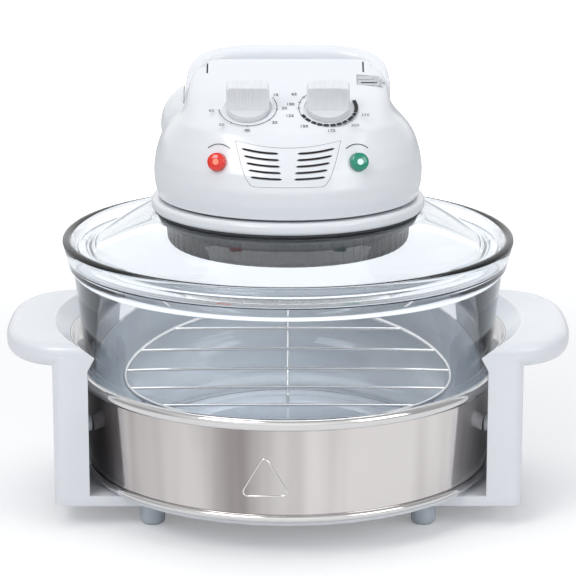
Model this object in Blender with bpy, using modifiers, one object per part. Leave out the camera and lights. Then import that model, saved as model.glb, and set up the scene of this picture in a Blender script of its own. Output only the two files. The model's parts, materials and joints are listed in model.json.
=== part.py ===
"""Halogen oven: steel-banded base, glass bowl, glass lid and a power head with fan and halogen element.

Metres, +Z up. The origin is on the table, under the middle of the bowl. The control panel faces -Y.
"""
import math

import bmesh
import bpy
from mathutils import Matrix, Vector

# General clearances and resolution
GAP = 0.0003                    # between two pieces that seat on each other
OVERRUN = 0.004                 # how far a cut runs past what it cuts
RING_STEPS = 40                 # facets round the large rings
SMALL_STEPS = 20                # facets round knobs, pins and lenses
FILLET_STEPS = 3                # segments in a moulded edge

# Glass bowl: its rim sets the size of the lid, the drum and the housings
BOWL_RIM_RADIUS = 0.1655
BOWL_COLLAR_FLARE = 0.0050      # how far the collar leans out between its foot and the rim
BOWL_COLLAR_STEP = 0.0027       # step from the wall out to the collar's foot
BOWL_TAPER = 0.0096             # how far the wall leans out between the shoulder and the collar
BOWL_CORNER_REACH = 0.0422
BOWL_CORNER = 0.052
BOWL_WALL = 0.005
BOWL_COLLAR_WALL = 0.0047
BOWL_COLLAR_DROP = 0.0240       # collar foot below the rim
BOWL_LEDGE_DROP = 0.0160        # ledge for the lid below the rim
BOWL_RIM_WIDTH = 0.0064
BOWL_DEPTH = 0.1625             # underside to rim
BOWL_COLLAR_FOOT_RADIUS = BOWL_RIM_RADIUS - BOWL_COLLAR_FLARE
BOWL_NECK_RADIUS = BOWL_COLLAR_FOOT_RADIUS - BOWL_COLLAR_STEP
BOWL_SHOULDER_RADIUS = BOWL_NECK_RADIUS - BOWL_TAPER
BOWL_BASE_RADIUS = BOWL_SHOULDER_RADIUS - BOWL_CORNER_REACH

# Base
DRUM_CLEARANCE = 0.0043         # bowl's shoulder to the drum's mouth
DRUM_TAPER = 0.0040
DRUM_TOP_RADIUS = BOWL_SHOULDER_RADIUS + DRUM_CLEARANCE
DRUM_BOTTOM_RADIUS = DRUM_TOP_RADIUS - DRUM_TAPER
DRUM_HEIGHT = 0.0765
DRUM_WALL = 0.0009
DRUM_LIP = 0.006
BOTTOM_BEAD_HEIGHT = 0.0055
BOTTOM_BEAD_WIDTH = 0.0026
TOP_BEAD_HEIGHT = 0.0088
TOP_BEAD_WIDTH = 0.0035
PAN_THICKNESS = 0.0025
BOWL_SEAT_INSET = 0.012
BOWL_SEAT_RADIUS = BOWL_BASE_RADIUS - BOWL_SEAT_INSET
BOWL_SEAT_WIDTH = 0.006
BOWL_SEAT_HEIGHT = 0.0105

# Side housings: a post that carries a wing-shaped carrying handle
HOUSING_CLEARANCE = 0.0130      # drum's mouth to the housing's inner wall
HOUSING_INNER_RADIUS = DRUM_TOP_RADIUS + HOUSING_CLEARANCE
HOUSING_HALF_DEPTH = 0.083
POST_SKIN = 0.0035              # post's outer face beyond the inner wall's reach
POST_OUTER_X = HOUSING_INNER_RADIUS + POST_SKIN
POST_CORNER = 0.008
WING_OVERHANG = 0.0380
WING_REACH = POST_OUTER_X + WING_OVERHANG
WING_ROOT_SETBACK = 0.0210
WING_ROOT_X = POST_OUTER_X - WING_ROOT_SETBACK
WING_TOP = 0.1372
WING_THICKNESS = 0.0175
WING_ROUND = 0.0072
WING_SQUARENESS = 2.7
FUNNEL_LIP_WIDTH = 0.0043
FUNNEL_FLARE = 0.0108
FUNNEL_LIP_RADIUS = HOUSING_INNER_RADIUS - FUNNEL_LIP_WIDTH
FUNNEL_TOP_RADIUS = FUNNEL_LIP_RADIUS + FUNNEL_FLARE
FUNNEL_DEPTH = 0.0095
FUNNEL_LIP_THICKNESS = 0.003
BOSS_RADIUS = 0.006
BOSS_ANGLE = math.radians(17)
BOSS_DROP = 0.036               # boss centre below the drum's rim
POCKET_WALL = 0.003
SHIELD_THICKNESS = 0.0008
SHIELD_HEIGHT = 0.0185
SHIELD_FACETS = 3               # facets of the large rings to each side of the middle
ARM_HEIGHT = 0.008
ARM_LENGTH = 0.0840
ARM_INNER_X = POST_OUTER_X - ARM_LENGTH
FOOT_RADIUS = 0.009
FOOT_HEIGHT = 0.016
FOOT_ROUND = 0.003
FOOT_INSET = 0.0705
FOOT_X = POST_OUTER_X - FOOT_INSET
FOOT_Y_INSET = 0.013
FOOT_Y = HOUSING_HALF_DEPTH - FOOT_Y_INSET

# Wire rack
RACK_WIRE = 0.0016
RACK_CLEARANCE = 0.0262         # rack's rim to the bowl's shoulder
RACK_RADIUS = BOWL_SHOULDER_RADIUS - RACK_CLEARANCE
RACK_LEG_HEIGHT = 0.050
RACK_LEG_ANGLES = (math.radians(90), math.radians(210), math.radians(330))
RACK_BARS = 5
RACK_STEPS = 36
RACK_BAR_SHARE = 0.70           # thickness of bars and legs against the rim
RACK_BAR_DROP_SHARE = 0.20      # how far the bars sit below the rim's middle
RACK_FOOT_REACH = 0.012

# Glass lid
LID_RADIUS = BOWL_COLLAR_FOOT_RADIUS - BOWL_COLLAR_WALL
LID_RIM_HEIGHT = 0.0085
LID_RIM_WIDTH = 0.0080
LID_GLASS = 0.0045
LID_RISE = 0.0345               # rim foot to the top of the glass at the hole
LID_HOLE_RADIUS = 0.0800
LID_SHOULDER_RADIUS = 0.1010    # the glass runs level inside this radius
GASKET_THICKNESS = 0.0012
GASKET_WIDTH = 0.008

# Head: collar, lower housing, upper shell
COLLAR_RADIUS = 0.1000
COLLAR_HEIGHT = 0.0085
COLLAR_WIDTH = 0.0080
NECK_RADIUS = 0.0915
NECK_WALL = 0.0025
NECK_HEIGHT = 0.0160
TRAY_THICKNESS = 0.0025
TRAY_HOLE_RADIUS = 0.016
DOME_RADIUS = 0.0980
SHELL_BOTTOM_LIFT = 0.0105      # shell's lower edge above the collar's underside
SHELL_HEIGHT = 0.0970
SHELL_WALL = 0.0026
SHELL_POINTS = 44
PANEL_TILT = math.radians(28)
PANEL_FOOT_Y = -0.0750
PANEL_FOOT_SHARE = 0.598        # panel's lower edge, share of the shell's height
CONSOLE_INNER_HALF_WIDTH = 0.0530
CONSOLE_INNER_SQUARENESS = 8

# Knobs
DIAL_X = 0.0284
DIAL_Y = -0.0495
DIAL_RECESS_RADIUS = 0.0172
DIAL_RECESS_DEPTH = 0.0016
KNOB_RADIUS = 0.0154
KNOB_HEIGHT = 0.0222
KNOB_SKIRT_HEIGHT = 0.0034
GRIP_TOP_THICKNESS = 0.0088
GRIP_FOOT_THICKNESS = 0.0150
GRIP_RIB_WIDTH = 0.0011
GRIP_RIB_DEPTH = 0.0006
GRIP_RIBS = 7
SPINDLE_RADIUS = 0.0030
SPINDLE_BITE = 0.012
CONTROL_SIZE = 0.028
CONTROL_DEPTH = 0.020

# Vent grille
VENT_TOP_HALF_WIDTH = 0.0370
VENT_FOOT_HALF_WIDTH = 0.0265
VENT_TOP_LIFT = 0.0530          # corner height above the shell's lower edge
VENT_FOOT_LIFT = 0.0238
VENT_DIP = 0.0042
VENT_GROOVE = 0.0005
VENT_THICKNESS = 0.0024
VENT_SEAT_DEPTH = 0.030
SLOT_ROWS = 5
SLOT_HEIGHT = 0.0014
SLOT_TOP_LIFT = 0.0480
SLOT_PITCH = 0.0045
SLOT_INNER_X = 0.0062
SLOT_OUTER_INSET = 0.0048
SLOT_DROP = 0.0030
SLOT_DROP_LOSS = 0.0003
SLOT_INNER_SHIFT = 0.0005

# Signal lenses
LENS_X = 0.0500
LENS_LIFT = 0.0388
LENS_RADIUS = 0.0064
LENS_LENGTH = 0.012
LENS_PROUD = 0.0036
LENS_TILT = math.radians(14)
LENS_TURN = math.radians(12)
LENS_FACE_Y = -0.0810
LAMP_RADIUS = 0.0026
LAMP_LENGTH = 0.014

# Bail handle
BAIL_HALF_WIDTH = 0.0675
BAIL_REACH = 0.0480
BAIL_SQUARENESS = 3.6
BAIL_TILT = math.radians(22)
BAIL_THICKNESS = 0.0135
BAIL_HEIGHT = 0.0160
BAIL_POINTS = 16
BAIL_SECTION_POINTS = 12
BAIL_PIVOT_Y = 0.0050
BAIL_PIVOT_LIFT = 0.0745
BAIL_EAR_RADIUS = 0.0085
BAIL_SIDE_GAP = 0.0016
NOTCH_FLOOR_LIFT = 0.0640
NOTCH_FRONT_GAP = 0.0012
NOTCH_OUTER_GAP = 0.0022
PIN_RADIUS = 0.0030
PIN_BITE = 0.008
LATCH_POCKET_DEPTH = 0.0090
LATCH_POCKET_WIDTH = 0.0210
LATCH_RIB = 0.0022
PLUNGER_RADIUS = 0.0024
PLUNGER_SETBACK = 0.0180
PLUNGER_DEPTH = 0.0105          # plunger foot below the notch floor
SWITCH_LENGTH = 0.020
SWITCH_WIDTH = 0.0065
SWITCH_HEIGHT = 0.010

# Rear terminal cover and cord gland
COVER_X = -0.0580
COVER_Y = 0.0300
COVER_LIFT = 0.0450
COVER_HALF_X = 0.0360
COVER_HALF_Y = 0.0360
COVER_HALF_Z = 0.0330
GLAND_RADIUS = 0.0058
GLAND_FLANGE_RADIUS = 0.0075
GLAND_LENGTH = 0.011
GLAND_BORE = 0.0032
GLAND_LIFT = 0.0141
GLAND_SEAT_DEPTH = 0.0014
TERMINAL_LENGTH = 0.024
TERMINAL_WIDTH = 0.012

# Heater, below the lid
HEATER_RADIUS = 0.0882
HEATER_RIB = 0.0017
HEATER_RIBS = 32
HEATER_WALL = 0.0016
HEATER_DEPTH = 0.0200
HEATER_ROUND = 0.0070
CLAMP_RING_WIDTH = 0.0150
CLAMP_RING_THICKNESS = 0.0020
REFLECTOR_THICKNESS = 0.0008
REFLECTOR_DISH = 0.004
REFLECTOR_FLAT_SHARE = 0.82
REFLECTOR_HOLE_RADIUS = 0.007
TUBE_RING_RADIUS = 0.0610
TUBE_RADIUS = 0.0048
TUBE_ARC = math.radians(310)
TUBE_POINTS = 20
HOLDER_LENGTH = 0.012
HOLDER_WIDTH = 0.0140
GUARD_THICKNESS = 0.0010
GUARD_LIP = 0.0025
GUARD_SLOTS = 12
GUARD_SLOT_WIDTH_SHARE = 0.55
GUARD_SLOT_IN = 0.016
GUARD_SLOT_OUT_INSET = 0.010

# Motor and fans
SHAFT_RADIUS = 0.0025
SHAFT_CLEARANCE = 0.0008
AIR_FAN_RADIUS = 0.0440
AIR_FAN_HEIGHT = 0.0070
COOLING_FAN_RADIUS = 0.0500
COOLING_FAN_HEIGHT = 0.0090
FAN_BLADES = 7
FAN_BLADE_THICKNESS = 0.0010
FAN_HUB_RADIUS = 0.0075
FAN_DISC_THICKNESS = 0.0010
MOTOR_RADIUS = 0.0260
MOTOR_HEIGHT = 0.0260
MOTOR_LIFT = 0.0265             # motor's underside above the tray's underside
BRACKET_THICKNESS = 0.0016
BRACKET_WIDTH = 0.016
BRACKET_SPAN = 0.140
BRACKET_LEG = 0.005
SENSOR_RADIUS = 0.0018
SENSOR_LENGTH = 0.030

# Heights that follow from the pieces below
FRAME_BOTTOM = FOOT_HEIGHT
ARM_TOP = FRAME_BOTTOM + ARM_HEIGHT
PAN_BOTTOM = ARM_TOP + GAP
PAN_TOP = PAN_BOTTOM + PAN_THICKNESS
DRUM_BOTTOM = PAN_TOP + GAP
DRUM_TOP = DRUM_BOTTOM + DRUM_HEIGHT
BOWL_BOTTOM = PAN_TOP + BOWL_SEAT_HEIGHT + GAP
BOWL_FLOOR = BOWL_BOTTOM + BOWL_WALL
BOWL_RIM = BOWL_BOTTOM + BOWL_DEPTH
LEDGE = BOWL_RIM - BOWL_LEDGE_DROP
LID_FOOT = LEDGE + GAP
LID_TOP = LID_FOOT + LID_RISE
GASKET_BOTTOM = LID_TOP + GAP
COLLAR_BOTTOM = GASKET_BOTTOM + GASKET_THICKNESS + GAP
SHELL_BOTTOM = COLLAR_BOTTOM + SHELL_BOTTOM_LIFT
PANEL_FOOT_Z = SHELL_BOTTOM + PANEL_FOOT_SHARE * SHELL_HEIGHT
PIVOT_Z = SHELL_BOTTOM + BAIL_PIVOT_LIFT
NOTCH_FLOOR = SHELL_BOTTOM + NOTCH_FLOOR_LIFT
LID_UNDERSIDE = LID_TOP - LID_GLASS
CLAMP_RING_TOP = LID_UNDERSIDE - GAP
HEATER_TOP = CLAMP_RING_TOP - CLAMP_RING_THICKNESS - GAP
HEATER_BOTTOM = HEATER_TOP - HEATER_DEPTH
TRAY_BOTTOM = COLLAR_BOTTOM
TRAY_TOP = TRAY_BOTTOM + TRAY_THICKNESS
MOTOR_BOTTOM = TRAY_BOTTOM + MOTOR_LIFT

# Outline shares of the moulded head shell, bottom to panel foot: height, half width, front, rear, squareness
shell_low_shares = (
    (0.000, 0.969, 0.969, 0.969, 2.00),
    (0.090, 0.994, 0.994, 0.994, 2.00),
    (0.200, 1.000, 1.000, 1.000, 2.00),
    (0.320, 0.985, 0.962, 0.975, 2.05),
    (0.450, 0.945, 0.885, 0.880, 2.15),
    (0.540, 0.890, 0.818, 0.760, 2.30),
)
# From the panel's foot to the ridge: share of that height, half width, rear, squareness
shell_high_shares = (
    (0.000, 0.830, 0.640, 2.60),
    (0.130, 0.780, 0.530, 3.10),
    (0.320, 0.752, 0.390, 3.70),
    (0.520, 0.738, 0.270, 4.20),
    (0.720, 0.712, 0.180, 4.20),
    (0.880, 0.660, 0.115, 4.00),
    (0.965, 0.600, 0.085, 3.80),
    (1.000, 0.560, 0.060, 3.60),
)
panel_ridge_setback_share = 0.045

FINISHES = {
    "white_plastic": ((0.90, 0.92, 0.95), 0.28, 0.0),
    "grey_plastic": ((0.74, 0.77, 0.80), 0.40, 0.0),
    "knob_plastic": ((0.80, 0.82, 0.84), 0.38, 0.0),
    "steel": ((0.66, 0.63, 0.62), 0.16, 1.0),
    "bright_steel": ((0.78, 0.78, 0.78), 0.10, 1.0),
    "dark_steel": ((0.10, 0.105, 0.11), 0.45, 0.6),
    "glass": ((0.86, 0.92, 0.95), 0.04, 0.0),
    "quartz": ((0.90, 0.88, 0.84), 0.10, 0.0),
    "ceramic": ((0.88, 0.86, 0.80), 0.60, 0.0),
    "silicone": ((0.70, 0.70, 0.68), 0.70, 0.0),
    "rubber": ((0.55, 0.60, 0.64), 0.70, 0.0),
    "red_lens": ((0.85, 0.06, 0.03), 0.12, 0.0),
    "green_lens": ((0.02, 0.50, 0.36), 0.12, 0.0),
    "black_plastic": ((0.03, 0.03, 0.035), 0.45, 0.0),
    "aluminium": ((0.70, 0.71, 0.72), 0.30, 1.0),
}


def clear_scene():
    """Remove whatever the file opened with."""
    for item in list(bpy.data.objects):
        bpy.data.objects.remove(item, do_unlink=True)


def new_collection(name):
    group = bpy.data.collections.new(name)
    bpy.context.scene.collection.children.link(group)
    return group


def make_material(name, finish):
    color, roughness, metallic = FINISHES[finish]
    material = bpy.data.materials.new(name + "_finish")
    material.use_nodes = True
    shader = material.node_tree.nodes["Principled BSDF"]
    shader.inputs["Base Color"].default_value = (*color, 1.0)
    shader.inputs["Roughness"].default_value = roughness
    shader.inputs["Metallic"].default_value = metallic
    return material


def add_object(name, mesh, finish=None):
    """Link a part with its own material, or a cutter when it has no finish."""
    item = bpy.data.objects.new(name, mesh)
    if finish is None:
        CUTTERS.objects.link(item)
        item.hide_render = True
        item.display_type = "WIRE"
    else:
        PARTS.objects.link(item)
        mesh.materials.append(make_material(name, finish))
        mesh.shade_smooth()
        mesh.set_sharp_from_angle(angle=math.radians(35))
    return item


def mesh_from(bm, name):
    """Turn a bmesh into a mesh with its faces pointing out."""
    bmesh.ops.recalc_face_normals(bm, faces=bm.faces)
    if bm.calc_volume(signed=True) < 0:
        bmesh.ops.reverse_faces(bm, faces=bm.faces)
    mesh = bpy.data.meshes.new(name)
    bm.to_mesh(mesh)
    bm.free()
    return mesh


def box(name, low, high, finish=None, matrix=None):
    """A block between two corners, set by a matrix when it leans."""
    low, high = Vector(low), Vector(high)
    size = high - low
    bm = bmesh.new()
    bmesh.ops.create_cube(bm, size=1)
    bmesh.ops.scale(bm, vec=size, verts=bm.verts)
    bmesh.ops.translate(bm, vec=(low + high) / 2, verts=bm.verts)
    if matrix is not None:
        bm.transform(matrix)
    return add_object(name, mesh_from(bm, name), finish)


def rod(name, radius, start, end, finish=None, tip_radius=None, steps=SMALL_STEPS):
    """A cylinder, or a cone when the tip's radius differs, from start to end."""
    start, end = Vector(start), Vector(end)
    axis = end - start
    bm = bmesh.new()
    tip = radius if tip_radius is None else tip_radius
    bmesh.ops.create_cone(bm, cap_ends=True, segments=steps, radius1=radius, radius2=tip, depth=axis.length)
    turn = axis.to_track_quat("Z", "Y").to_matrix().to_4x4()
    bm.transform(Matrix.Translation((start + end) / 2) @ turn)
    return add_object(name, mesh_from(bm, name), finish)


def turned(name, profile, finish=None, steps=RING_STEPS, place=None):
    """Turn a closed outline of radius and height round +Z with a Screw modifier."""
    area = sum(a[0] * b[1] - b[0] * a[1] for a, b in zip(profile, profile[1:] + profile[:1]))
    points = profile if area < 0 else list(reversed(profile))
    bm = bmesh.new()
    verts = [bm.verts.new((radius, 0, height)) for radius, height in points]
    for here, there in zip(verts, verts[1:] + verts[:1]):
        if here.co.x or there.co.x:
            bm.edges.new((here, there))
    mesh = bpy.data.meshes.new(name)
    bm.to_mesh(mesh)
    bm.free()
    item = add_object(name, mesh, finish)
    screw = item.modifiers.new("turn", "SCREW")
    screw.steps = steps
    screw.render_steps = steps
    screw.use_merge_vertices = True
    screw.merge_threshold = 0.000001
    screw.use_smooth_shade = True
    if place is not None:
        item.location = place
    return item


def plate(name, outline, low, high, finish=None, matrix=None):
    """Fill a flat outline as a 2D curve and give it a thickness from low to high along its normal."""
    curve = bpy.data.curves.new(name, "CURVE")
    curve.dimensions = "2D"
    curve.fill_mode = "BOTH"
    curve.extrude = (high - low) / 2
    spline = curve.splines.new("POLY")
    spline.points.add(len(outline) - 1)
    for point, (x, y) in zip(spline.points, outline):
        point.co = (x, y, 0, 1)
    spline.use_cyclic_u = True
    guide = bpy.data.objects.new(name + "_outline", curve)
    bpy.context.scene.collection.objects.link(guide)
    mesh = baked_mesh(guide, name)
    bm = bmesh.new()
    bm.from_mesh(mesh)
    bmesh.ops.remove_doubles(bm, verts=bm.verts, dist=0.000001)
    bmesh.ops.translate(bm, vec=(0, 0, (low + high) / 2), verts=bm.verts)
    if matrix is not None:
        bm.transform(matrix)
    bpy.data.objects.remove(guide, do_unlink=True)
    bpy.data.meshes.remove(mesh)
    return add_object(name, mesh_from(bm, name), finish)


def baked_mesh(item, name):
    """Read an object as it is evaluated, in world space."""
    depsgraph = bpy.context.evaluated_depsgraph_get()
    mesh = bpy.data.meshes.new_from_object(item.evaluated_get(depsgraph), depsgraph=depsgraph)
    mesh.name = name
    mesh.transform(item.matrix_world)
    return mesh


def wire(name, points, radius, finish, cyclic=False, resolution=2):
    """A round bar along a path, as a curve with a bevel depth and filled caps."""
    curve = bpy.data.curves.new(name, "CURVE")
    curve.dimensions = "3D"
    curve.bevel_depth = radius
    curve.bevel_resolution = resolution
    curve.use_fill_caps = True
    spline = curve.splines.new("POLY")
    spline.points.add(len(points) - 1)
    for target, point in zip(spline.points, points):
        target.co = (*point, 1)
    spline.use_cyclic_u = cyclic
    guide = bpy.data.objects.new(name + "_path", curve)
    bpy.context.scene.collection.objects.link(guide)
    mesh = baked_mesh(guide, name)
    bm = bmesh.new()
    bm.from_mesh(mesh)
    bmesh.ops.remove_doubles(bm, verts=bm.verts, dist=0.000001)
    bpy.data.objects.remove(guide, do_unlink=True)
    bpy.data.meshes.remove(mesh)
    return add_object(name, mesh_from(bm, name), finish)


def loft(name, rings, finish=None):
    """Skin a stack of point rings of equal count and close both ends."""
    bm = bmesh.new()
    rows = [[bm.verts.new(point) for point in ring] for ring in rings]
    count = len(rows[0])
    for lower, upper in zip(rows, rows[1:]):
        for i in range(count):
            j = (i + 1) % count
            bm.faces.new((lower[i], lower[j], upper[j]))
            bm.faces.new((lower[i], upper[j], upper[i]))
    bm.faces.new(list(reversed(rows[0])))
    bm.faces.new(rows[-1])
    return add_object(name, mesh_from(bm, name), finish)


def combine(target, other, operation):
    """Join or cut a part with a helper, by an exact Boolean."""
    step = target.modifiers.new(operation.lower() + "_" + other.name, "BOOLEAN")
    step.operation = operation
    step.object = other
    return target


def cut(target, *cutters):
    for cutter in cutters:
        combine(target, cutter, "DIFFERENCE")
    return target


def join(target, *others):
    for other in others:
        combine(target, other, "UNION")
    return target


def round_edges(target, width, angle=math.radians(40), segments=FILLET_STEPS):
    bevel = target.modifiers.new("round", "BEVEL")
    bevel.width = width
    bevel.segments = segments
    bevel.limit_method = "ANGLE"
    bevel.angle_limit = angle
    return target


def arc(centre_x, centre_y, radius, start, end, steps):
    """Points on an arc, from one angle to another."""
    points = []
    for i in range(steps + 1):
        angle = start + (end - start) * i / steps
        points.append((centre_x + radius * math.cos(angle), centre_y + radius * math.sin(angle)))
    return points


def superellipse(half_x, half_y, power, angle):
    """A point of a rounded rectangle whose squareness grows with the power."""
    cosine, sine = math.cos(angle), math.sin(angle)
    x = half_x * math.copysign(abs(cosine) ** (2 / power), cosine)
    y = half_y * math.copysign(abs(sine) ** (2 / power), sine)
    return x, y


def panel_matrix(x=0.0):
    """Frame of the control panel at a dial: local +Z is the panel's outward normal."""
    height = PANEL_FOOT_Z + (DIAL_Y - PANEL_FOOT_Y) * math.tan(PANEL_TILT)
    return Matrix.Translation((x, DIAL_Y, height)) @ Matrix.Rotation(PANEL_TILT, 4, "X")


def build_feet():
    for x_side, x_name in ((-1, "left"), (1, "right")):
        for y_side, y_name in ((-1, "front"), (1, "rear")):
            profile = [(0, 0), (FOOT_RADIUS - FOOT_ROUND, 0)]
            profile += arc(FOOT_RADIUS - FOOT_ROUND, FOOT_ROUND, FOOT_ROUND, -math.pi / 2, 0, FILLET_STEPS)[1:]
            profile += [(FOOT_RADIUS, FOOT_HEIGHT - GAP), (0, FOOT_HEIGHT - GAP)]
            name = "foot_" + y_name + "_" + x_name
            turned(name, profile, "rubber", SMALL_STEPS, (x_side * FOOT_X, y_side * FOOT_Y, 0))


def build_base_pan():
    """Round pan that carries the drum and, on a raised ring, the bowl."""
    rim = DRUM_BOTTOM_RADIUS - DRUM_WALL
    seat_in = BOWL_SEAT_RADIUS - BOWL_SEAT_WIDTH
    seat_top = PAN_TOP + BOWL_SEAT_HEIGHT
    profile = [(0, PAN_BOTTOM), (rim, PAN_BOTTOM), (rim, PAN_TOP), (BOWL_SEAT_RADIUS, PAN_TOP),
               (BOWL_SEAT_RADIUS, seat_top), (seat_in, seat_top), (seat_in, PAN_TOP), (0, PAN_TOP)]
    turned("base_pan", profile, "white_plastic")


def build_drum():
    """Steel band with its inward lip, and the two rolled trim rings that grip its edges."""
    lip = DRUM_BOTTOM_RADIUS - DRUM_LIP
    profile = [(lip, DRUM_BOTTOM), (DRUM_BOTTOM_RADIUS, DRUM_BOTTOM), (DRUM_TOP_RADIUS, DRUM_TOP),
               (DRUM_TOP_RADIUS - DRUM_WALL, DRUM_TOP),
               (DRUM_BOTTOM_RADIUS - DRUM_WALL, DRUM_BOTTOM + DRUM_WALL), (lip, DRUM_BOTTOM + DRUM_WALL)]
    turned("drum_band", profile, "steel")
    slope = (DRUM_TOP_RADIUS - DRUM_BOTTOM_RADIUS) / DRUM_HEIGHT
    inner = DRUM_BOTTOM_RADIUS + slope * BOTTOM_BEAD_HEIGHT + GAP
    bead = arc(inner, DRUM_BOTTOM + BOTTOM_BEAD_HEIGHT / 2, 1, math.pi / 2, -math.pi / 2, 6)
    profile = [(inner + (x - inner) * BOTTOM_BEAD_WIDTH,
                DRUM_BOTTOM + BOTTOM_BEAD_HEIGHT / 2 + math.sin(math.pi / 2 - math.pi * i / 6)
                * BOTTOM_BEAD_HEIGHT / 2) for i, (x, _) in enumerate(bead)]
    turned("bottom_trim_ring", profile, "bright_steel")
    inner = DRUM_TOP_RADIUS + GAP
    middle = DRUM_TOP - TOP_BEAD_HEIGHT / 2
    profile = []
    for i in range(7):
        angle = math.pi / 2 - math.pi * i / 6
        profile.append((inner + TOP_BEAD_WIDTH * math.cos(angle), middle + math.sin(angle) * TOP_BEAD_HEIGHT / 2))
    turned("top_trim_ring", profile, "bright_steel")


def wing_outline(side):
    """D-shaped plan of a carrying handle."""
    reach = WING_REACH - WING_ROOT_X
    points = []
    steps = 20
    for i in range(steps + 1):
        angle = -math.pi / 2 + math.pi * i / steps
        x, y = superellipse(reach, HOUSING_HALF_DEPTH, WING_SQUARENESS, angle)
        points.append((side * (WING_ROOT_X + x), y))
    inner = WING_ROOT_X - (WING_REACH - WING_ROOT_X)
    points += [(side * inner, HOUSING_HALF_DEPTH), (side * inner, -HOUSING_HALF_DEPTH)]
    return points


def post_outline(side, inner_x):
    """Plan of the upright post, with its two outer corners rounded."""
    corner_x = POST_OUTER_X - POST_CORNER
    corner_y = HOUSING_HALF_DEPTH - POST_CORNER
    points = [(inner_x, -HOUSING_HALF_DEPTH)]
    points += arc(corner_x, -corner_y, POST_CORNER, -math.pi / 2, 0, FILLET_STEPS)
    points += arc(corner_x, corner_y, POST_CORNER, 0, math.pi / 2, FILLET_STEPS)
    points += [(inner_x, HOUSING_HALF_DEPTH)]
    return [(side * x, y) for x, y in points]


def build_side_housing(side, name):
    """One moulding: post, bottom arm over the feet, and the wing handle with its funnel lip."""
    lip_z = WING_TOP - FUNNEL_DEPTH
    mid_x = HOUSING_INNER_RADIUS * math.cos(math.asin(HOUSING_HALF_DEPTH / HOUSING_INNER_RADIUS))
    inner_x = mid_x - POST_CORNER
    post = plate("side_housing_" + name, post_outline(side, inner_x), FRAME_BOTTOM,
                 WING_TOP - WING_THICKNESS / 2, "white_plastic")
    wing = plate("wing_form_" + name, wing_outline(side), WING_TOP - WING_THICKNESS, WING_TOP)
    round_edges(wing, WING_ROUND)
    arm = plate("arm_form_" + name, post_outline(side, ARM_INNER_X), FRAME_BOTTOM, ARM_TOP)
    liner = turned("liner_cut_" + name, [
        (0, ARM_TOP), (HOUSING_INNER_RADIUS, ARM_TOP), (HOUSING_INNER_RADIUS, lip_z - FUNNEL_LIP_THICKNESS),
        (FUNNEL_LIP_RADIUS, lip_z - FUNNEL_LIP_THICKNESS), (FUNNEL_LIP_RADIUS, lip_z),
        (FUNNEL_TOP_RADIUS, WING_TOP), (FUNNEL_TOP_RADIUS, WING_TOP + OVERRUN), (0, WING_TOP + OVERRUN)])
    join(post, wing, arm)
    cut(post, liner)
    boss_z = DRUM_TOP - BOSS_DROP
    slope = (DRUM_TOP_RADIUS - DRUM_BOTTOM_RADIUS) / DRUM_HEIGHT
    reach = DRUM_TOP_RADIUS - slope * (BOSS_DROP - BOSS_RADIUS) + GAP
    for index, turn in enumerate((-BOSS_ANGLE, BOSS_ANGLE)):
        along = Vector((side * math.cos(turn), math.sin(turn), 0))
        foot = along * (HOUSING_INNER_RADIUS + POCKET_WALL / 2) + Vector((0, 0, boss_z))
        tip = along * reach + Vector((0, 0, boss_z))
        join(post, rod("boss_form_" + name + "_" + str(index), BOSS_RADIUS, tip, foot, steps=12))
    pocket_top = WING_TOP - WING_THICKNESS - POCKET_WALL
    for end in (-1, 1):
        pocket = pocket_outline(side, end)
        cut(post, plate("pocket_cut_" + name + str(end + 1), pocket, FRAME_BOTTOM - OVERRUN, pocket_top))


def pocket_outline(side, end):
    """Core of the hollow post: it follows the inner arc and the outer walls at the wall's thickness."""
    inner = HOUSING_INNER_RADIUS + POCKET_WALL
    outer_x = POST_OUTER_X - POCKET_WALL
    outer_y = HOUSING_HALF_DEPTH - POCKET_WALL
    start = math.acos(min(1, (outer_x - POCKET_WALL) / inner))
    finish = math.asin(outer_y / inner)
    points = [(inner * math.cos(a), inner * math.sin(a))
              for a in (start + (finish - start) * i / 5 for i in range(6))]
    points += [(outer_x - POCKET_WALL, outer_y), (outer_x, outer_y - POCKET_WALL)]
    points += [(outer_x, inner * math.sin(start))]
    return [(side * x, end * y) for x, y in points]


def build_heat_shield(side, name):
    """Polished strip that keeps the bowl's heat off the housing, hung under the funnel lip."""
    outer = FUNNEL_LIP_RADIUS - GAP
    inner = outer - SHIELD_THICKNESS
    half_angle = math.tau * SHIELD_FACETS / RING_STEPS
    middle = 0 if side > 0 else math.pi
    points = arc(0, 0, outer, middle - half_angle, middle + half_angle, SHIELD_FACETS * 2)
    points += arc(0, 0, inner, middle + half_angle, middle - half_angle, SHIELD_FACETS * 2)
    top = WING_TOP - FUNNEL_DEPTH
    plate("heat_shield_" + name, points, top - SHIELD_HEIGHT, top, "bright_steel")


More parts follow.
